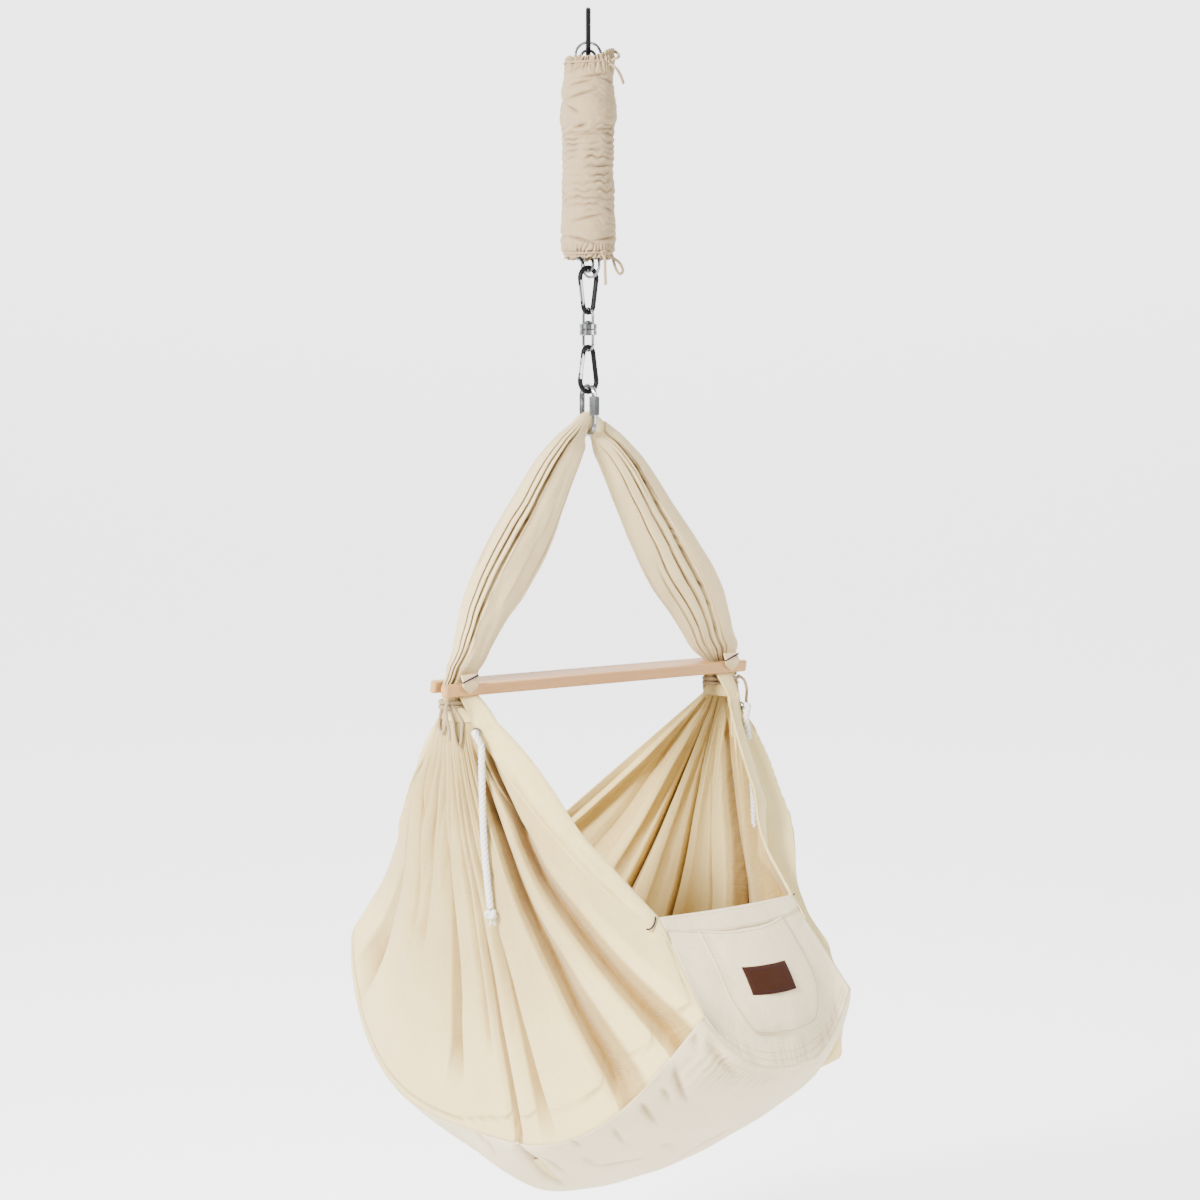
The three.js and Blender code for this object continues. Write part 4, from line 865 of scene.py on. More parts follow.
# The cover's cords: name, the frame's node, its body, what it ends in, and its way
COVER_CORDS = (
    ("cover_cord_up", "cover_tail_top_up", "spring", "bare", [
      (10.4, -36.4, -70.9), (15.9, -42.0, -67.4), (20.6, -40.3, -65.7), (24.6, -36.8, -62.5),
      (26.1, -31.8, -58.5), (25.6, -27.3, -55.5)]),
    ("cover_cord_down", "cover_tail_top_down", "spring", "bare", [
      (10.7, -35.9, -75.5), (16.7, -40.3, -81.8), (22.1, -39.8, -86.3), (28.1, -37.8, -92.0),
      (34.1, -34.3, -97.0), (38.1, -31.3, -99.5)]),
    ("cover_cord_foot", "cover_tail_bottom", "spring_foot", "bare", [
      (-3.1, -36.8, -342.5), (-3.1, -38.9, -350.9), (-2.5, -38.4, -359.0), (-1.5, -37.5, -367.5),
      (-0.0, -36.5, -376.1), (1.0, -35.4, -383.1)]),
    ("cover_cord_loop", "cover_loop_bottom", "spring_foot", "object", [
      (20.5, -27.1, -340.8), (20.5, -27.1, -343.8), (28.5, -32.0, -350.2), (33.0, -33.4, -356.5),
      (35.0, -33.4, -363.5), (32.0, -30.4, -366.9), (28.5, -27.4, -361.4), (26.2, -25.3, -352.3),
      (24.9, -23.2, -343.8), (24.9, -23.2, -340.8)]),
)
# The rings that gather the cover: end, level, radius, place of the knot, and body
COVER_STRINGS = (
    ("top", -73, 33.3, Vector((9.0, -33.6, -73.0)), "spring"),
    ("bottom", -339, 34, Vector((-3.1, -35.35, -339.0)), "spring_foot"),
)
# Slack loops of a neck tie: middle and half width along the neck, and drop down the side
TIE_LOOPS = ((-0.42, 0.16, 0.06), (0.35, 0.2, 0.035))
TIE_END = ((26, -9, 5), (34, -14, 12), (36, -18, 26), (33, -20, 42), (35, -23, 55))
TIE_TURNS, TIE_DROP = 2, 6.5
UP = Vector((0, 0, 1))
# A frayed end: its hairs, and the points along each one and round it
HAIRS, HAIR_RINGS, HAIR_SIDES = 16, 5, 4


def knot_piece(name, middle, way, material, size):
    """An overhand knot."""
    turn = UP.rotation_difference(way)
    line = [middle + turn @ (Vector((math.sin(a) + 2 * math.sin(2 * a), math.cos(a) - 2 * math.cos(2 * a),
                                     -1.6 * math.sin(3 * a))) * 1.45 * size)
            for a in spaced(0, 2 * math.pi, 72)]
    return strand(name, line, 5.2 * size, material, 3, 9, 12, True)


def fray_piece(name, start, way, material):
    """The loose fibres at a cord's end."""
    points, faces = [], []
    turn = UP.rotation_difference(way)
    for hair in range(HAIRS):
        angle = hair * 2.4
        spread = 0.8 + 1.5 * (hair % 5) / 4
        path = [start + turn @ Vector((math.cos(angle) * spread * (0.6 + 2.2 * s),
                                       math.sin(angle) * spread * (0.6 + 2.2 * s),
                                       (8 + hair % 4) * s)) for s in steps(HAIR_RINGS)]
        faces += tube_faces(len(points), HAIR_RINGS, HAIR_SIDES)
        for centre, (line, across, over) in zip(path, transported(path)):
            points += [centre + (across * math.cos(a) + over * math.sin(a)) * 0.45
                       for a in turns(HAIR_SIDES)]
    return piece(name, points, faces, [material], None, [0.3] * len(points))


class CRADLE_OT_cords(bpy.types.Operator):
    """Add the rope tails with their knots, the neck ties and the cover's drawstrings"""
    bl_idname = "cradle.cords"
    bl_label = "Cords"

    def execute(self, context):
        rope = cotton_cord("white cotton cord", colour_of(context, "rope"), (0.52, 0.47, 0.40))
        tape = cotton_cord("cover drawstring", colour_of(context, "cover"), (0.25, 0.17, 0.09))
        for side, word in SIDES:
            self.add_tail(word, smooth_path(ROPE_TAILS[side]), rope)
            self.add_tie(side, word, tape)
        for name, node, body, far_end, places in COVER_CORDS:
            line = smooth_path(places, 0.8)
            cord = fitted(strand(name, line, 4.4, tape, 3, 9, 12), node, body=body, slot="rope")
            line[0] * MM
            path_length(line) * MM
            [p * MM for p in line]
        for word, level, radius, knot, body in COVER_STRINGS:
            ring = [Vector((radius * math.cos(a), radius * math.sin(a), level + 0.8 * math.sin(3 * a)))
                    for a in spaced(0, 2 * math.pi, 120)]
            string = strand(f"cover_string_{word}", ring, 3, tape, 3, 7, 12, True)
            fitted(string, f"cover_drawstring_{word}", body=body, slot="rope")
            way = Vector((knot.x, knot.y, 0)).normalized()
            bow = knot_piece(f"cover_string_knot_{word}", knot, way, tape, 0.8)
            fitted(bow, body=body, slot="rope")
        return {"FINISHED"}

    def add_tail(self, word, route, rope):
        """The rope tail through an eyelet, its knot and its frayed end."""
        way = (route[-1] - route[-2]).normalized()
        knot = knot_piece(f"tail_knot_{word}", route[-1] + way * 8, way, rope, 1.35)
        fitted(knot, f"rope_knot_{word}", slot="rope")
        fray = fitted(fray_piece(f"tail_fray_{word}", route[-1] + way * 13, way, rope), slot="rope")
        tail = strand(f"rope_tail_cord_{word}", route, ROPE_WIDTH, rope, 3, 21, 21)
        fitted(tail, f"rope_tail_{word}", slot="rope")
        route[0] * MM
        path_length(route) * MM
        [p * MM for p in route]

    def add_tie(self, side, word, tape):
        """The cord round a neck, the slack loops that droop over the pleats, and its loose end."""
        centre, out = neck_centre(side), neck_centre(side) + side * 23
        rings = []
        for turn in spaced(0, TIE_TURNS, 97):
            x, y = squircle(2 * math.pi * turn, 31.2, 10.2)
            rings.append(Vector((centre + x, y, NECK_TOP - 3.3 - turn * TIE_DROP)))
        tie = strand(f"neck_rope_{word}", respaced(rings, 1.5), 6, tape, 3, 12, 14)
        fitted(tie, f"neck_tie_{word}", slot="rope")
        paths = []
        for middle, half, drop in TIE_LOOPS:
            droop = [toward_inside(side_place(side, middle - half * math.cos(math.pi * turn),
                                              0.002 + drop * math.sin(math.pi * turn)), -4.5)
                     for turn in steps(8)]
            start, end = [Vector((out, 12 * y, NECK_TOP - 7)) for y in (middle - half, middle + half)]
            paths.append([start, *droop, end])
        paths.append([Vector((centre + side * x, y, NECK_TOP - z)) for x, y, z in TIE_END])
        for number, path in enumerate(paths):
            loop = strand(f"neck_rope_loop_{word}_{number}", smooth_path(path), 4.6, tape, 3, 9, 12)
            fitted(loop, slot="rope")


def squircle(angle, half_width, half_depth, power=2 / 2.4):
    """A place on a ring between an oval and a rectangle."""
    def along(value):
        return math.copysign(abs(value) ** power, value)
    return half_width * along(math.cos(angle)), half_depth * along(math.sin(angle))


class CRADLE_OT_hardware(bpy.types.Operator):
    """Finish the carabiners, the swivel, the quick link and the eyelets"""
    bl_idname = "cradle.hardware"
    bl_label = "Carabiners, swivel and quick link"

    def execute(self, context):
        black = plated("black lacquer", colour_of(context, "black"), (0.02, 0.02, 0.021), 0.38, 0.35, 0.0)
        zinc = plated("zinc plating", colour_of(context, "zinc"), (0.62, 0.62, 0.63), 0.2)
        dress(["hook_carabiner_body", "upper_carabiner_body", "lower_carabiner_body",
               "hook_carabiner_gate"], black, 0.4)
        dress(["upper_carabiner_gate", "lower_carabiner_gate", "hook_carabiner_pin", "upper_carabiner_pin",
               "lower_carabiner_pin", "swivel_top_eye", "swivel_bottom_eye", "quick_link_body",
               "quick_link_nut", "eyelet_left", "eyelet_right"], zinc, 0.35)
        return {"FINISHED"}


SPRING_ENDS = {"start": (0, 0, -0.085), "end": (0, 0, -0.335)}
# The spring: radius, coils and wire, radius and middles of its end hooks, the turn of a hook and of the
# lead into it, how far the lead drops, and the plane of the top hook
SPRING_RADIUS, SPRING_COILS, SPRING_WIRE = 21, 24, 4
HOOK_RADIUS = 10.5
HOOK_TOP, HOOK_FOOT = -64.2, -353.2
HOOK_TURN, LEAD_TURN, LEAD_DROP = math.radians(215), math.radians(70), 18
TOP_PLANE = math.radians(49)
# The safety cable: radius and opening of its end loops, half the gap between its two strands, how far it
# stands from the hooks, and the smallest and largest radius of its slack
LOOP_RADIUS, LOOP_MOUTH = 18, math.radians(38)
CABLE_WIDTH, CABLE_HALF, CABLE_ASIDE = 4, 2.3, 4.6
SLACK_START, SLACK_RADIUS, SLACK_TURNS = 5.14, 15.2, 5


def on_ring(radius, angle, level):
    return Vector((radius * math.cos(angle), radius * math.sin(angle), level))


def spring_line():
    """The spring's wire, hook to hook, as the frame has it."""
    first, last = TOP_PLANE - math.pi / 2, math.pi / 2 - 2 * math.pi * SPRING_COILS

    def hook(level, start, end):
        return [Vector((0, HOOK_RADIUS * math.cos(a), level + HOOK_RADIUS * math.sin(a)))
                for a in spaced(start, end, 24)]

    def lead_in(level, angle, way):
        return [on_ring(lerp(HOOK_RADIUS, SPRING_RADIUS, ease(s, 0, 1)),
                        angle - way * LEAD_TURN * s * s, level - way * LEAD_DROP * s)
                for s in steps(12)[1:-1]]
    spin = Matrix.Rotation(TOP_PLANE, 3, "Z")
    sweep = first - last - 2 * LEAD_TURN
    coils = [on_ring(SPRING_RADIUS, first - LEAD_TURN - sweep * s,
                     lerp(HOOK_TOP - LEAD_DROP, HOOK_FOOT + LEAD_DROP, s))
             for s in steps(SPRING_COILS * 28)]
    return [*[spin @ point for point in hook(HOOK_TOP, math.pi - HOOK_TURN, math.pi)],
            *lead_in(HOOK_TOP, first, 1), *coils, *lead_in(HOOK_FOOT, last, -1)[::-1],
            *hook(HOOK_FOOT, 0, -HOOK_TURN)]


def cable_loop_line(top, way):
    """The cable's loop in its own plane, as the frame has it."""
    centre = top - way * LOOP_RADIUS
    ferrule = centre - way * 30
    bend = [Vector((CABLE_ASIDE, LOOP_RADIUS * math.cos(a), centre + way * LOOP_RADIUS * math.sin(a)))
            for a in spaced(-LOOP_MOUTH, math.pi + LOOP_MOUTH, 60)]
    ends = [[Vector((CABLE_ASIDE, y, ferrule - way * drop)) for drop in (14, 0)]
            for y in (CABLE_HALF, -CABLE_HALF)]
    return [*ends[0], *bend, *ends[1][::-1]]


class CRADLE_OT_spring(bpy.types.Operator):
    """Add the suspension spring and the safety cable"""
    bl_idname = "cradle.spring"
    bl_label = "Spring and safety cable"

    def execute(self, context):
        wire = plated("oiled spring wire", colour_of(context, "spring"), (0.25, 0.25, 0.26), 0.3, 0.4)
        cable = clear_coated_cable("clear coated cable", (0.30, 0.31, 0.325), (0.02, 0.022, 0.025))
        crimp = plated("pressed aluminium", (0.5, 0.51, 0.53), (0.7, 0.7, 0.7), 0.4)
        spring = strand("coil_spring", respaced(spring_line(), 2.6), SPRING_WIRE, wire, 0, 1, 12)
        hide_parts("suspension_spring")
        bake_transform(spring, "spring", "spring_foot", **SPRING_ENDS)
        for word, top, way, plane, body in (("top", -42, 1, TOP_PLANE, "spring"),
                                            ("bottom", -371.4, -1, 0, "spring_foot")):
            spin = Matrix.Rotation(plane, 3, "Z")
            line = respaced([spin @ p for p in cable_loop_line(top, way)], 1.2)
            loop = strand(f"safety_loop_{word}", line, CABLE_WIDTH, cable, 0, 1, 14)
            fitted(loop, f"cable_loop_{word}", body=body, slot="steel_bright")
        low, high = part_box("safety_cable")
        start = math.atan2(CABLE_HALF, CABLE_ASIDE)
        slack = [on_ring(lerp(SLACK_START, SLACK_RADIUS, ease(math.sin(math.pi * s), 0, 0.6)),
                         lerp(start + TOP_PLANE, start + 2 * math.pi * SLACK_TURNS, s),
                         lerp(high.z, low.z, s) / MM) for s in steps(160)]
        middle = strand("safety_cable_slack", slack, CABLE_WIDTH, cable, 0, 1, 12)
        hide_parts("safety_cable")
        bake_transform(middle, "spring", "spring_foot", **SPRING_ENDS)
        dress(["cable_ferrule_top", "cable_ferrule_bottom"], crimp, 0.5)
        return {"FINISHED"}


# The cover's radius at places along it, as shares of the whole
COVER_PROFILE = [
    (0, 0.84), (0.02, 0.8), (0.045, 0.86), (0.09, 0.93), (0.17, 1.0), (0.26, 1.08), (0.3, 1.09), (0.36, 1.0),
    (0.5, 0.99), (0.68, 0.99), (0.8, 1.03), (0.9, 1.07), (0.955, 0.98), (0.975, 0.86), (0.99, 0.84),
    (1, 0.88)]
# Wrinkles of the cover that run aslant: angle of their middle, place along, slant, half length, depth
COVER_WRINKLES = [
    (-2.5, 0.05, 0.5, 0.9, 3.2), (-2.0, 0.095, 0.25, 0.8, 2.6), (-1.2, 0.115, -0.3, 0.7, 3.0),
    (-2.6, 0.13, 0.35, 0.6, 3.0), (-2.6, 0.19, 0.55, 0.75, 3.4), (-2.9, 0.26, -1.3, 0.35, 3.6),
    (-2.6, 0.345, 0.5, 0.4, 4.4), (-1.4, 0.355, 0.2, 0.9, 2.6), (-2.3, 0.385, 0.1, 0.8, 3.0),
    (-2.3, 0.80, 0.45, 0.8, 2.6), (-1.2, 0.76, -0.5, 0.5, 2.6), (-2.8, 0.9, -0.5, 0.6, 3.4),
    (-2.2, 0.925, -0.6, 0.6, 3.4), (-1.5, 0.9, 0.5, 0.6, 3.0), (1.2, 0.12, 0.4, 0.8, 3.0),
    (2.2, 0.2, -0.4, 0.8, 3.0), (0.4, 0.16, 0.3, 0.7, 3.0), (0.8, 0.82, 0.4, 0.8, 3.0),
    (2.4, 0.88, -0.4, 0.8, 3.0),
]


def cover_girth(place):
    for (start, before), (end, after) in zip(COVER_PROFILE, COVER_PROFILE[1:]):
        if place <= end:
            return lerp(before, after, ease(place, start, end))
    return COVER_PROFILE[-1][1]


def cover_place(share, angle):
    """A place on the spring cover: bulges, crosswise wrinkles, and flutes where its strings gather it;
    painted shade in its wrinkles and flutes.
    """
    x, y = math.cos(angle), math.sin(angle)
    body = ease(share, 0.03, 0.1) * ease(1 - share, 0.03, 0.09)
    crowded = window(share, 0.3, 0.38, 0.7, 0.78)
    wander = 0.55 * speckle(x * 1.3, y * 1.3, share * 5) + 0.3 * speckle(x * 3.4, y * 3.4, share * 12)
    phase = share * 27 + wander * 1.7
    size = 0.55 + 0.9 * speckle(x * 1.7 + 3, y * 1.7, math.floor(phase) * 0.37)
    after = 0.55 + 0.9 * speckle(x * 1.7 + 3, y * 1.7, (math.floor(phase) + 1) * 0.37)
    size = max(lerp(size, after, ease(phase - math.floor(phase), 0.3, 0.7)), 0.1)
    wrinkle = crease(phase, 0.8) * size * lerp(0.2, 1, crowded)
    sunk, valley = 6.2 * wrinkle, 0.6 * wrinkle ** 1.2
    for middle, place, slant, reach, depth in COVER_WRINKLES:
        turn = (angle - middle + math.pi) % (2 * math.pi) - math.pi
        if abs(turn) < reach:
            gap = (share - place + slant * turn * 0.06) * COVER_LENGTH
            fold = folded(gap, 7, 4) if -4 < gap < 7 else 0
            fade = math.cos(math.pi / 2 * turn / reach)
            sunk += 1.35 * depth * fold * fade
            valley = max(valley, ease(fold, 0.25, 0.8) * fade * 0.6)
    bulge = 2.2 * speckle(x * 0.9, y * 0.9, share * 9 + 4) + 1.1 * speckle(x * 2.5, y * 2.5, share * 26)
    ends = 1 - body
    flute = crease(angle * 19 / math.pi + 3 * wander, 0.7)
    cluster = ends * (1 - share) * 5 * max(math.cos(angle + 0.9), 0) ** 3
    radius = COVER_RADIUS * cover_girth(share) + body * (bulge - sunk) + ends * (2.4 - 5.0 * flute) + cluster
    level = COVER_TOP - share * COVER_LENGTH + ends * (3.5 * speckle(x * 3, y * 3, 1) + 1.5 * flute)
    return (Vector((radius * x, radius * y, level + 2.5 * cluster)),
            min(body * valley + ends * flute * 0.5, 1))


class CRADLE_OT_cover(bpy.types.Operator):
    """Add the gathered cotton cover of the spring"""
    bl_idname = "cradle.cover"
    bl_label = "Spring cover"

    def execute(self, context):
        cloths = [cotton_of(context, "cover cotton", "cover", "crevice", 1.3, 0.3)]
        grid = [[cover_place(share, angle) for angle in turns(180)] for share in steps(330)]
        cover = cloth_grid("cover_sleeve", grid, cloths, (233, 420), True, 1.2, lambda p: Vector((0, 0, p.z)))
        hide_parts("spring_cover")
        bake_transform(cover, "spring", "spring_foot", **SPRING_ENDS)
        return {"FINISHED"}


# A leg of the sling, link to bar: its outer edge and its inner edge, each across and down as shares of the
# whole, its half depth and how much it is folded, both from 0 to 1
SLING_LEG = [
    (0.0, 0.0, 0.0, 0.068, 0.3, 0.0), (0.058, 0.012, 0.027, 0.106, 0.3, 0.0),
    (0.123, 0.047, 0.033, 0.155, 0.45, 0.3), (0.21, 0.09, 0.058, 0.192, 0.66, 0.7),
    (0.358, 0.173, 0.123, 0.295, 0.87, 1), (0.5, 0.282, 0.206, 0.4, 0.96, 1),
    (0.61, 0.37, 0.272, 0.487, 1, 1), (0.715, 0.474, 0.362, 0.58, 1, 1), (0.8, 0.58, 0.478, 0.671, 0.96, 1),
    (0.858, 0.672, 0.6, 0.75, 0.87, 1), (0.91, 0.776, 0.7, 0.832, 0.74, 1),
    (0.965, 0.868, 0.772, 0.9, 0.52, 0.9), (1.115, 0.958, 0.885, 0.958, 0.23, 0.8),
    (1.115, 1.0, 0.885, 1.0, 0.23, 0.8),
]
SLING_DEPTH = 23
# How much wider each leg is in its lower half, at its outer and its inner edge
SLING_SPREAD = {-1: (0.06, 0.07), 1: (0.12, 0.0)}
# Folds on the front of each leg: place across it at its top and foot, from -1 at its left edge to 1 at its
# right edge, depth, reach to the left and to the right, and where down the leg it begins and ends
SLING_FOLDS = {
    -1: [(-0.86, -0.88, 0.7, 0.05, 0.05, 0.02, 1.1), (-0.68, -0.72, 0.95, 0.07, 0.06, 0.04, 1.1),
         (-0.42, -0.46, 1.1, 0.16, 0.025, 0.0, 1.1), (0.68, 0.62, 0.8, 0.04, 0.10, 0.03, 0.62),
         (0.86, 0.9, 0.45, 0.08, 0.08, 0.1, 0.5), (0.2, 0.15, 0.22, 0.1, 0.06, 0.3, 0.75)],
    1: [(-0.54, -0.56, 0.95, 0.06, 0.05, 0.0, 1.1), (-0.7, -0.78, 0.4, 0.08, 0.08, 0.55, 1.1),
        (-0.1, -0.2, 0.8, 0.08, 0.10, 0.22, 1.1), (0.1, 0.0, 0.6, 0.06, 0.06, 0.0, 0.4),
        (0.4, 0.14, 1.15, 0.15, 0.03, 0.0, 1.1), (0.26, 0.05, 0.8, 0.05, 0.05, 0.02, 0.66)],
}


def sling_section(side, place):
    """The leg's outer and inner edge, half depth, fold and shift to the back at a place along it, 0 in the
    link and 1 at the bar."""
    spot = place * (len(SLING_LEG) - 1)
    index = min(int(spot), len(SLING_LEG) - 2)
    rows = [SLING_LEG[max(min(index + k, len(SLING_LEG) - 1), 0)] for k in (-1, 0, 1, 2)]
    out_x, out_z, in_x, in_z, depth, fold = [through(*values, spot - index) for values in zip(*rows)]
    drop = SLING_TOP - SLING_FOOT
    shift = BAR_SHIFT * out_z
    spread = window(out_z, 0.3, 0.72, 0.88, 0.96)
    out_x += SLING_SPREAD[side][0] * spread + 0.028 * window(out_z, 0, 0.1, 0.85, 0.95)
    in_x += SLING_SPREAD[side][1] * spread + 0.05 * window(in_z, 0.06, 0.3, 0.5, 0.75)
    outer = Vector((side * out_x * GATHER_SPAN + shift, 0, SLING_TOP - out_z * drop))
    inner = Vector((side * in_x * GATHER_SPAN + shift, 0, SLING_TOP - in_z * drop))
    offset = 1.5 * (1 - ease(place, 0.03, 0.15))
    return outer, inner, depth * SLING_DEPTH, fold, offset


def sling_place(side, place, angle, proud=0.0, flat=False):
    """A place on a leg's skin, or on the flat band that lies proud of its front, and its painted shade."""
    outer, inner, depth, fold, offset = sling_section(side, place)
    axis = (inner - outer)
    half = max(axis.length / 2, 1)
    axis = axis.normalized() if axis.length > 1 else Vector((0, 0, -1))
    across, back = squircle(angle, half + proud, depth + proud)
    front = ease(-math.sin(angle), -0.2, 0.25)
    run = across / half
    toward_x = run if side < 0 else -run
    drift = 0.03 * speckle(place * 6, side * 3) + 0.02 * speckle(toward_x * 3, place * 14)
    sunk = valley = 0
    for top, foot, size, left, right, start, end in SLING_FOLDS[side]:
        gap = toward_x + drift - lerp(top, foot, ease(place, 0.1, 0.9))
        if front > 0 and -left < gap < right:
            fade = front * window(place, start - 0.03, start + 0.06, end - 0.12, end)
            fold_in = folded(gap, right, left)
            sunk += size * fade * fold_in
            valley = max(valley, min(size, 1) * fade * ease(fold_in, 0.15, 0.7))
    phase = (toward_x + 1) * 4.6 + 0.5 * speckle(place * 4, run * 1.2, side)
    behind = (1 - front) * crease(lean(phase, 0.7), 0.45)
    tight = ease(place, 0.76, 0.95) * 0.8 + 0.6 * (1 - ease(place, 0.03, 0.2))
    gather = tight * crease(toward_x * 6.5 + 0.6 * speckle(place * 5, run * 2, side + 3), 0.5)
    sunk += 0.7 * behind + gather
    # Painted shade in the front folds, in the creases round the back and in the gathers at either end.
    valley = max(valley, 0.6 * behind, min(gather, 1))
    if flat:
        sunk = 0
    puff = 2.4 * speckle(place * 6, toward_x * 1.8, 8 + side) + 1.0 * speckle(place * 17, toward_x * 4, side)
    inward = min(12, depth * 0.8) * min(sunk, 1.3) * fold
    back_shift = -math.copysign(1, back) * inward * abs(math.sin(angle)) ** 0.5
    point = (outer + inner) * 0.5 + axis * across
    point += Vector((0, back + back_shift + offset - front * puff * fold, 0))
    return point, min(1.25 * valley * fold, 1)


# The sewn band on the front of each leg, from one angle round it to the other
BAND_ANGLES = {-1: (math.pi * 1.385, math.pi * 1.695), 1: (math.pi * 1.42, math.pi * 1.15)}
# The tabs: half width, place of the point and half width there, and the row that the bar tack is on
TAB_HALF, TAB_POINT, TAB_TIP = 13.5, 0.6, 0.08
TACK_ROW = 3


class CRADLE_OT_sling(bpy.types.Operator):
    """Add the sling, its sewn bands and the tabs over the bar"""
    bl_idname = "cradle.sling"
    bl_label = "Sling"

    def execute(self, context):
        cloths = [cotton_of(context, "sling cotton", "sling", "crevice", 0.9)]
        places = steps(150)
        grid = [[sling_place(-1, place, angle) for angle in turns(240)] for place in places[::-1]]
        grid += [[sling_place(1, place, math.pi - angle) for angle in turns(240)] for place in places[1:]]
        sling = cloth_grid("sling_cloth", grid, cloths, (260, 1000), True, 0,
                           lambda p: Vector((p.x * 0.97, 0, p.z - 15)))
        fitted(sling, "sling")
        runs = []
        for side, word in SIDES:
            rows = [[sling_place(side, place, angle, 2.0, True) for angle in spaced(*BAND_ANGLES[side], 20)]
                    for place in spaced(0.13, 0.93, 110)]
            band = cloth_grid(f"sling_hem_{word}", rows, cloths, thickness=1.2, centre=in_front)
            fitted(band, f"sling_band_{word}")
            runs += [[(row[1][0], OUT) for row in rows], [(row[-2][0], OUT) for row in rows]]
        fitted(stitches("sling_stitching", runs, thread_of(context)))
        self.add_tabs(context, cloths)
        return {"FINISHED"}

    def add_tabs(self, context, cloths):
        """Pointed tabs that lap over the bar, each with its dark bar tack."""
        tacks, runs = [], []
        for side, word in SIDES:
            low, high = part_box(f"sling_tab_{word}")
            centre, top, foot = (low.x + high.x) / 2 / MM, high.z / MM + 3, low.z / MM
            rows = []
            for down in steps(14):
                point = max(down - TAB_POINT, 0) / (1 - TAB_POINT)
                half = TAB_HALF * lerp(1, TAB_TIP, point ** 1.3)
                front = low.y / MM - 0.4 - 1.2 * math.sin(math.pi * down) + (3.0 - 3 * ease(down, 0, 0.35))
                rows.append([(Vector((centre + x, front, lerp(top, foot, down))), 0.25 * down)
                             for x in spaced(-half, half, 11)])
            tab = cloth_grid(f"bar_tab_{word}", rows, cloths, thickness=1.4, centre=in_front)
            fitted(tab, f"sling_tab_{word}")
            tacks.append([(point + Vector((0, -0.6, 0.9 * number - 4.5)), OUT)
                          for number, (point, valley) in enumerate(rows[TACK_ROW])])
            runs += [[(row[side_of][0], OUT) for row in rows[:12]] for side_of in (1, -2)]
        fitted(stitches("tab_tacks", tacks, tack_of(context), 1.4, 2.8, 2.6))
        fitted(stitches("tab_stitching", runs, thread_of(context)))


class CRADLE_OT_bar(bpy.types.Operator):
    """Finish the beech spreader bar"""
    bl_idname = "cradle.bar"
    bl_label = "Spreader bar"

    def execute(self, context):
        wood = beech("oiled beech", colour_of(context, "wood"), colour_of(context, "wood_dark"))
        dress(["spreader_bar"], wood, 0.8)
        return {"FINISHED"}


# A neck in its slot: half width and half depth; how far it comes down, and half its width there
SLOT_HALF, SLOT_DEPTH = 27, 6.6
NECK_DROP, NECK_FOOT = 36.6, 37.5


class CRADLE_OT_necks(bpy.types.Operator):
    """Add the gathered necks that run from the slots down to the bag's sides"""
    bl_idname = "cradle.necks"
    bl_label = "Necks"

    def execute(self, context):
        cloths = bag_cloths(context)
        for side, word in SIDES:
            centre = neck_centre(side)
            grid = []
            for down in steps(34):
                spread = ease(down, 0.3, 1)
                row = []
                for angle in turns(320):
                    x, y = squircle(angle, SLOT_HALF, SLOT_DEPTH)
                    share = y / SLOT_DEPTH
                    outer = 1 if side * x > 0 else -0.8
                    foot_x = side * outer * (NECK_BOW * (1 - share * share) + 1.2)
                    pleat = neck_pleat(side, share)
                    gathered = Vector((lerp(x, foot_x, spread), lerp(y, NECK_FOOT * share, spread), 0))
                    gathered -= gathered.normalized() * pleat * lerp(2.0, 1.4, spread)
                    level = NECK_TOP + 4 - down * NECK_DROP
                    # Painted shade in the neck's pleats.
                    row.append((Vector((centre + gathered.x, gathered.y, level)), min(0.9 * pleat, 1)))
                grid.append(row)
            neck = cloth_grid(f"gathered_neck_{word}", grid, cloths[:1], (300, 60), True, 0,
                              lambda p, c=centre: Vector((c, 0, p.z)))
            fitted(neck, f"neck_{word}")
        return {"FINISHED"}


# Where the hems and the sides begin, as a share of the way down, and the hems' largest share of a side
HEM_TOP, HEM_SHARE = 0.004, 0.12


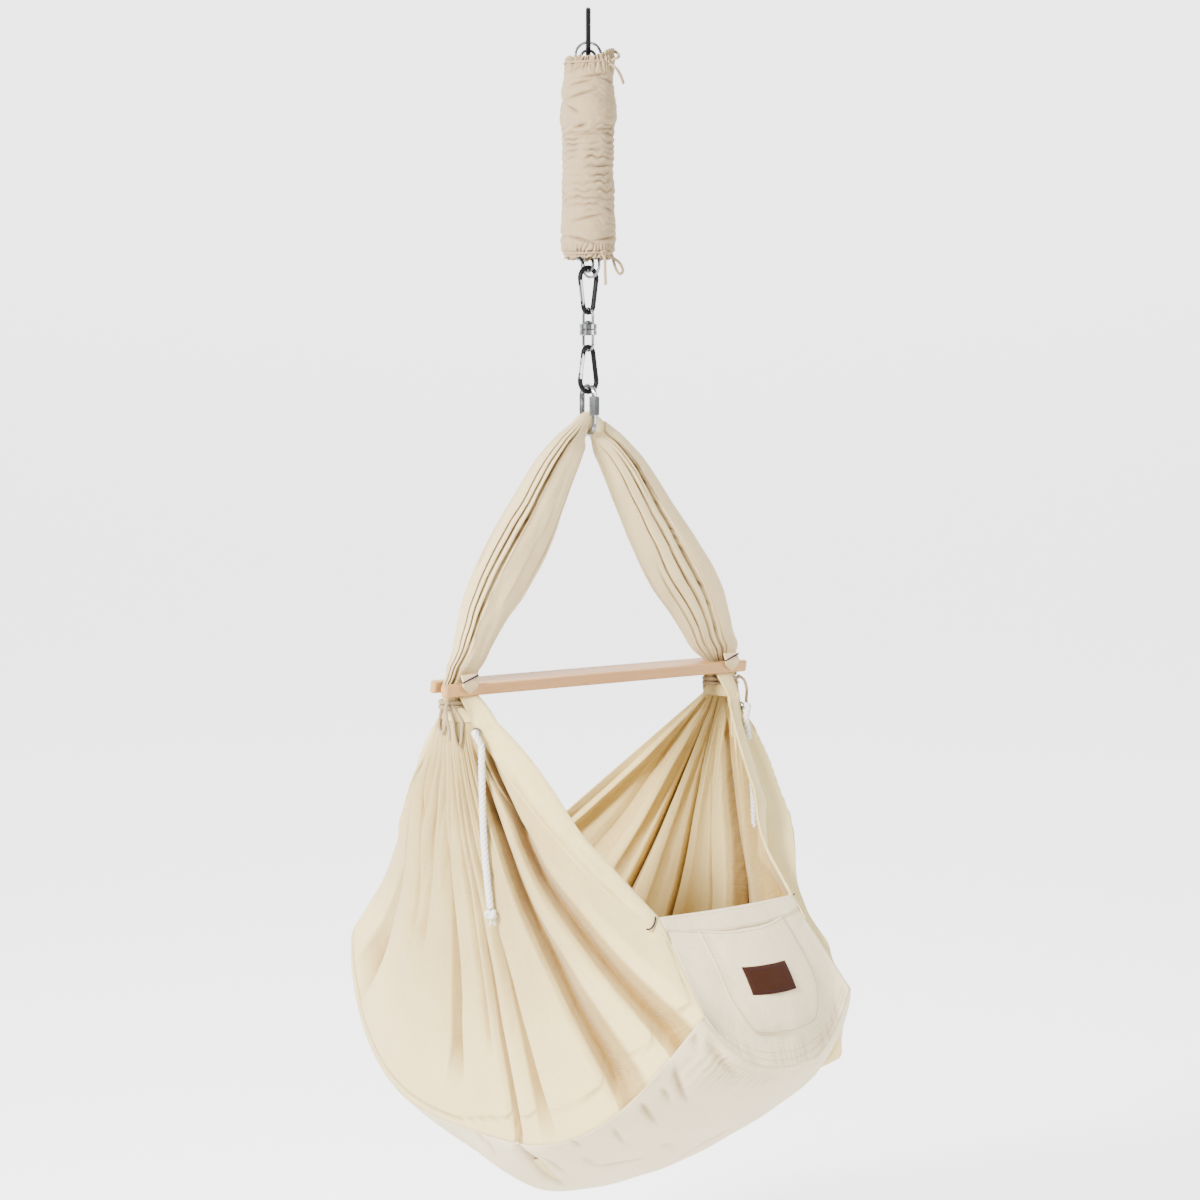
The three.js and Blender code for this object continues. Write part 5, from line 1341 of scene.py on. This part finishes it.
class CRADLE_OT_bag_sides(bpy.types.Operator):
    """Add the pleated sides of the bag and their hems"""
    bl_idname = "cradle.bag_sides"
    bl_label = "Bag sides and hems"

    def execute(self, context):
        cloth = context.scene.cradle_cloth
        depth = cloth.pleat_depth / MM
        cloths = bag_cloths(context)
        runs = []
        for side, word in SIDES:
            shares = spaced(-1, 1, 560)
            grid = [[fan_place(side, share, down, depth) for share in shares] for down in steps(110)]
            fan = cloth_grid(f"bag_fan_{word}", grid, cloths, (980, 560))
            fitted(fan, f"bag_side_{word}")
            for way, edge in ((-1, "front"), (1, "back")):
                rows = self.hem_rows(side, way, depth, cloth.hem_width / MM)
                hem = cloth_grid(f"bag_hem_{edge}_{word}", rows, cloths, thickness=1.8)
                fitted(hem, f"{edge}_hem_{word}")
                runs += [outward([row[column][0] for row in rows]) for column in (-2, 1)]
            for drop in (0, 0.006):
                runs.append(outward([fan_place(side, share, panel_seam(share) - drop, depth)[0]
                                     for share in spaced(-1, 1, 400)]))
        fitted(stitches("bag_stitching", runs, thread_of(context)))
        return {"FINISHED"}

    def hem_rows(self, side, way, depth, width):
        """The grid of a hem: out of its slot, over the top of the side and down along its edge."""
        rows = []
        for rise in steps(14)[:-1]:
            share = 1 - rise
            row = []
            for s in steps(10):
                mouth = toward_inside(side_place(side, way * (1 - HEM_SHARE * s), HEM_TOP), -2.5)
                slot = Vector((neck_centre(side) - side * lerp(21, -10, s), way * 11.5, NECK_TOP + 2))
                swell = 2.5 * math.sin(math.pi * share) * (1 - 0.4 * s)
                point = mouth.lerp(slot, share) + Vector((-side * 0.4, way, 0)) * swell
                # Painted shade that deepens across the hem towards the side's pleats.
                row.append((point, 0.1 + 0.3 * s * s))
            rows.append(row)
        for down in spaced(HEM_TOP, 1, 80):
            near = (side_place(side, way, down) - side_place(side, way * 0.99, down)).length / 0.01
            wide = min(HEM_SHARE, width / near)
            row = []
            for s in steps(10):
                ripple = 0.7 * speckle(down * 30, s * 2, side * way)
                proud = 1.9 + ripple + (1.1 * math.sin(math.pi * min(s * 1.2, 1)))
                point, valley = fan_place(side, way * (1 - wide * s), down, depth, proud)
                # The painted shade of the side below, a third as strong.
                row.append((point, valley * 0.3))
            rows.append(row)
        return rows


# Short creases of the bottom panel: from one place to another, across and along it, depth and width in mm
BOTTOM_CREASES = [
    (-0.94, -0.78, -0.62, -0.7, 7, 9), (-0.93, -0.66, -0.62, -0.56, 5, 8), (-0.98, -0.97, -0.86, -0.95, 4, 8),
    (-0.95, -0.90, -0.55, -0.80, 7, 8), (-0.93, -0.985, -0.4, -0.94, 5, 9), (-0.9, -0.84, -0.72, -0.80, 5, 7),
    (-0.9, -0.31, -0.6, -0.27, 5, 12), (-0.9, -0.27, -0.7, -0.22, 5, 8), (-1.0, -0.25, -0.35, -0.12, 15, 26),
    (-1.0, -0.03, -0.9, 0.0, 5, 10), (-0.97, -0.06, -0.8, 0.0, 5, 8), (-1.0, -0.52, -0.86, -0.49, 5, 8),
    (-0.6, -0.38, -0.25, -0.5, 4, 16), (-0.4, -0.6, -0.1, -0.5, 3, 18), (-0.8, -0.45, -0.5, -0.36, 3, 14),
    (-0.95, 0.35, -0.6, 0.3, 6, 16), (-0.95, 0.6, -0.55, 0.66, 6, 16), (-0.95, 0.85, -0.7, 0.8, 5, 12),
    (0.95, -0.8, 0.55, -0.7, 6, 15), (0.95, -0.45, 0.6, -0.4, 6, 15), (1.0, -0.1, 0.5, -0.05, 12, 26),
    (0.95, 0.3, 0.6, 0.36, 6, 15), (0.95, 0.65, 0.5, 0.6, 6, 15), (0.9, 0.92, 0.4, 0.86, 5, 12),
    (-0.2, 0.2, 0.15, 0.5, 4, 24), (0.25, -0.6, 0.1, -0.3, 4, 24),
]


def creased(across, along, half_width, half_length, creases):
    """How far a panel is folded in by its short creases at a place, and how much painted shade it gets from
    them.
    """
    sunk = valley = 0
    for from_x, from_y, to_x, to_y, depth, width in creases:
        run_x, run_y = (to_x - from_x) * half_width, (to_y - from_y) * half_length
        x, y = (across - from_x) * half_width, (along - from_y) * half_length
        share = (x * run_x + y * run_y) / (run_x * run_x + run_y * run_y)
        if -0.2 < share < 1.2:
            held = min(max(share, 0), 1)
            taper = math.sin(math.pi * held ** 0.6)
            gap = math.hypot(x - held * run_x, y - held * run_y) / (width * (0.12 + 0.88 * taper))
            fold = max(1 - gap, 0) ** 1.6
            sunk += depth * fold * taper
            valley = max(valley, min(depth / 9, 1) * taper * ease(fold, 0.1, 0.9))
    return sunk, valley


# The mattress: how far it reaches along and across the bottom, and its thickness
MATTRESS_ALONG, MATTRESS_ACROSS, MATTRESS_RISE = 0.66, 0.8, 27


def bottom_cloth(across, along):
    """A place on the bottom panel: puckers and a gathered band at its ends, short creases, a little sag, and
    painted shade in the puckers, the gathers, the creases and along the seam.
    """
    edge_on = 1 - ease(abs(across), 0.965, 1)
    tick = crease(across * 23 + 2 * speckle(across * 4, 3, along), 0.7)
    tick *= window(abs(along), 0.9, 0.93, 0.975, 0.99) * (1 - ease(abs(across), 0.7, 0.9))
    pull = crease(across * 13 + 1.4 * speckle(across * 3, along * 2, 4), 0.8)
    pull *= window(abs(along), 0.8, 0.93, 0.94, 0.97)
    sag = 4 * speckle(across * 1.6, along * 3.2, 6) + 2.2 * speckle(across * 4, along * 8, 12)
    sunk, fold_shade = creased(across, along, 200, 400, BOTTOM_CREASES)
    sunk = edge_on * (2.0 * tick + 1.2 * pull + sag) + sunk * (1 - ease(abs(across), 0.985, 1))
    seam = ease(abs(along), 0.988, 0.998)
    valley = min(edge_on * (tick * 0.4 + 0.1 * pull) + 0.8 * fold_shade, 1)
    return toward_inside(bottom_place(across, along), sunk + seam), max(valley, 0.3 * seam)


class CRADLE_OT_bag_bottom(bpy.types.Operator):
    """Add the bottom panel of the bag and the mattress on it"""
    bl_idname = "cradle.bag_bottom"
    bl_label = "Bottom panel and mattress"

    def execute(self, context):
        places = spaced(-1, 1, 130)
        grid = [[bottom_cloth(across, along) for across in places] for along in spaced(-1, 1, 260)]
        bottom = cloth_grid("bag_floor_cloth", grid, bag_cloths(context, "panel"), (560, 1000))
        fitted(bottom, "bag_bottom")
        self.add_mattress(context)
        return {"FINISHED"}

    def add_mattress(self, context):
        """The quilted mattress: a ring of points across its top and back along its underside, row by row."""
        quilt = cotton_of(context, "mattress cotton", "light", "fold", 1.0, 0.2)
        rows = []
        for along in spaced(-MATTRESS_ALONG, MATTRESS_ALONG, 90):
            top, foot = [], []
            for across in spaced(-MATTRESS_ACROSS, MATTRESS_ACROSS, 60):
                under = toward_inside(bottom_place(across, along), 3.6)
                full = max((1 - (abs(across) / MATTRESS_ACROSS) ** 6)
                           * (1 - (abs(along) / MATTRESS_ALONG) ** 8), 0)
                channel = crease(along * 9, 0.5) * 4 + crease(across * 5, 0.5) * 4
                height = 4 + (MATTRESS_RISE - channel) * full ** 0.5
                # Painted shade in the quilted channels.
                top.append((toward_inside(under, height), min(channel / 9, 1)))
                foot.append((toward_inside(under, 2 + 2 * (1 - full)), 0.1))
            rows.append(top + foot[::-1])
        columns = len(rows[0])
        points, valleys = listed(rows)
        faces = grid_faces(len(rows), columns, True, True)
        for first, order in ((0, 1), ((len(rows) - 1) * columns, -1)):
            faces += [[first + i, first + i + 1, first + columns - 2 - i, first + columns - 1 - i][::order]
                      for i in range(columns // 2 - 1)]
        cloth = [(point.x, point.y) for point in points]
        mattress = piece("quilted_mattress", points, faces, [quilt], cloth, valleys)
        fitted(mattress, "mattress", slot="foam")


def front_cloth(across, down, way, proud=0.0):
    """A place on an end panel: gathers at its foot, soft folds across it, a little slack, and painted shade
    in the gathers and folds.
    """
    gather = crease(across * 9 + 2 * speckle(across * 2.4, down, way), 0.8) * ease(down, 0.8, 0.98)
    phase = down * 2.2 + 0.3 * across * across + 0.5 * speckle(across * 1.5, down * 1.5, way + 3)
    sag = crease(phase, 0.9)
    slack = 3.4 * speckle(across * 2.2, down * 2.2, way * 2) + 1.3 * speckle(across * 6, down * 5, way * 5)
    rim = ease(1 - abs(across), 0, 0.06)
    sunk = 1.5 * gather + 1.4 * sag * ease(down, 0.1, 0.3) + slack * ease(down, 0, 0.1)
    sunk *= rim * (1 - ease(down, 0.97, 1))
    valley = min(rim * (0.25 * gather + 0.1 * sag), 1)
    return toward_inside(front_place(across, down, way), sunk - proud), valley


# The pocket on the front panel: its top and foot down the panel and its half width, as shares; the label on
# it, in mm and as shares
POCKET_TOP, POCKET_FOOT, POCKET_HALF = 0.12, 0.8, 0.63
LABEL_WIDTH, LABEL_HEIGHT, PANEL_WIDTH, PANEL_HEIGHT = 74, 42, 250, 235
LABEL_ACROSS, LABEL_LEVEL = -0.06, 0.455
# Bar tacks where the hems meet the front panel: side, and the ends of each, along the side and down it
CORNER_TACKS = ((-1, (-0.94, 0.885), (-0.993, 0.965)), (1, (-0.992, 0.968), (-0.999, 0.99)))


class CRADLE_OT_end_panels(bpy.types.Operator):
    """Add the front and back panels, the pocket and the leather label"""
    bl_idname = "cradle.end_panels"
    bl_label = "End panels, pocket and label"

    def execute(self, context):
        cloths = bag_cloths(context, "panel")
        runs = []
        for way, word in ((-1, "front"), (1, "back")):
            grid = [[front_cloth(across, down, way) for across in spaced(-1, 1, 90)] for down in steps(60)]
            panel = cloth_grid(f"{word}_end_cloth", grid, cloths, (260, 190))
            fitted(panel, f"{word}_panel")
            hem = [[front_cloth(across, lerp(-0.01, 0.13, down), way, 1.5 + math.sin(math.pi * down))
                    for across in spaced(-1, 1, 80)] for down in steps(9)]
            fitted(cloth_grid(f"{word}_end_hem", hem, cloths))
            runs += [outward([point for point, valley in hem[row]]) for row in (1, 7)]
            runs += [outward([front_cloth(across, down, way, 0.2)[0] for across in spaced(-0.99, 0.99, 120)])
                     for down in (0.955, 0.91)]
        fitted(stitches("end_panel_stitching", runs, thread_of(context)))
        self.add_pocket(context)
        self.add_label(context)
        self.add_tacks(context)
        return {"FINISHED"}

    def add_pocket(self, context):
        """The pocket: its foot rounded, its mouth slack, stitched down round its edge."""
        cloths = [cotton_of(context, "pocket cotton", "panel", "fold", 1.1, 0.45)]
        grid = []
        for down in steps(50):
            row = []
            for run in steps(60):
                across = 2 * run - 1
                narrow = 1 - 0.34 * max((down - 0.55) / 0.45, 0) ** 2.4
                sag = 3.4 * math.sin(math.pi * run) * (1 - ease(down, 0, 0.35))
                puff = 2.2 * math.sin(math.pi * run) ** 0.5 * math.sin(math.pi * down) ** 0.5
                crumple = 1.3 * speckle(across * 2.5, down * 3, 17)
                border = min(1, 8 * min(run, 1 - run, 1 - down + 0.02))
                level = lerp(POCKET_TOP, POCKET_FOOT, down) + 0.012 * (1 - across * across) * (1 - down)
                point, valley = front_cloth(across * POCKET_HALF * narrow, level, -1,
                                            1.8 + border * (puff + sag + crumple))
                # Painted shade of the panel's folds, and a painted shadow along the pocket's border.
                row.append((point, 0.5 * valley + 0.15 * (1 - border)))
            grid.append(row)
        pocket = cloth_grid("front_pocket", grid, cloths, (165, 130), thickness=1.4)
        fitted(pocket, "pocket", slot="cotton_shade")
        edge = [row[1] for row in grid[:-1]] + grid[-2][1:-1] + [row[-2] for row in grid[:-1]][::-1]
        runs = [outward([point for point, valley in line]) for line in (edge, grid[1])]
        thread = cotton_cord("pocket thread", (0.36, 0.24, 0.12), (0.2, 0.12, 0.06))
        fitted(stitches("pocket_stitching", runs, thread, 3.4, 2.6, 0.8))

    def add_label(self, context):
        """The plain leather label, stitched on just inside its edge."""
        hide = tanned_leather("label leather", colour_of(context, "leather"), (0.04, 0.013, 0.006))
        grid = []
        for down in steps(20):
            row = []
            for run in steps(32):
                across = (2 * run - 1) * LABEL_WIDTH / PANEL_WIDTH + LABEL_ACROSS
                level = LABEL_LEVEL + (down - 0.5) * LABEL_HEIGHT / PANEL_HEIGHT
                edge = 1 - min(1, 10 * min(run * 1.6, (1 - run) * 1.6, down, 1 - down))
                row.append((toward_inside(front_place(across, level), -(6.3 - 0.7 * edge)), edge))
            grid.append(row)
        label = cloth_grid("leather_patch", grid, [hide], (70, 42), thickness=2.2)
        fitted(label, "leather_label", slot="leather")
        border = grid[2][2:30] + [row[29] for row in grid[2:18]]
        border += grid[17][29:1:-1] + [row[2] for row in grid[17:1:-1]]
        runs = [outward([point for point, valley in border])]
        fitted(stitches("label_stitching", runs, tack_of(context), 3.4, 2.2, 0.6), slot="leather")

    def add_tacks(self, context):
        """Dark bar tacks where the hems meet the front panel."""
        runs = [outward([toward_inside(side_place(side, lerp(start[0], end[0], s),
                                                  lerp(start[1], end[1], s ** 0.8)), -5.0)
                         for s in steps(12)]) for side, start, end in CORNER_TACKS]
        fitted(stitches("corner_tacks", runs, tack_of(context), 1.5, 2.6, 2.4))


STEPS = (CRADLE_OT_stage, CRADLE_OT_cords, CRADLE_OT_hardware, CRADLE_OT_spring, CRADLE_OT_cover,
         CRADLE_OT_necks, CRADLE_OT_sling, CRADLE_OT_bar, CRADLE_OT_bag_sides, CRADLE_OT_bag_bottom,
         CRADLE_OT_end_panels)


class CRADLE_PT_pieces(bpy.types.Panel):
    """The cradle's pieces and their settings"""
    bl_idname = "CRADLE_PT_pieces"
    bl_label = "Cradle"
    bl_space_type = "VIEW_3D"
    bl_region_type = "UI"
    bl_category = "Cradle"

    def draw(self, context):
        for step in STEPS:
            self.layout.operator(step.bl_idname)
        for group in (context.scene.cradle_cloth, context.scene.cradle_trim):
            for name in group.bl_rna.properties.keys():
                if name not in ("name", "rna_type"):
                    self.layout.prop(group, name)


CLASSES = (CradleCloth, CradleTrim, *STEPS, CRADLE_PT_pieces)


def register():
    for cls in CLASSES:
        bpy.utils.register_class(cls)
    bpy.types.Scene.cradle_cloth = bpy.props.PointerProperty(type=CradleCloth)
    bpy.types.Scene.cradle_trim = bpy.props.PointerProperty(type=CradleTrim)


def unregister():
    del bpy.types.Scene.cradle_trim
    del bpy.types.Scene.cradle_cloth
    for cls in reversed(CLASSES):
        bpy.utils.unregister_class(cls)


def main():
    register()
    for step in STEPS:
        group, name = step.bl_idname.split(".")
        getattr(getattr(bpy.ops, group), name)()


if __name__ == "__main__":
    main()
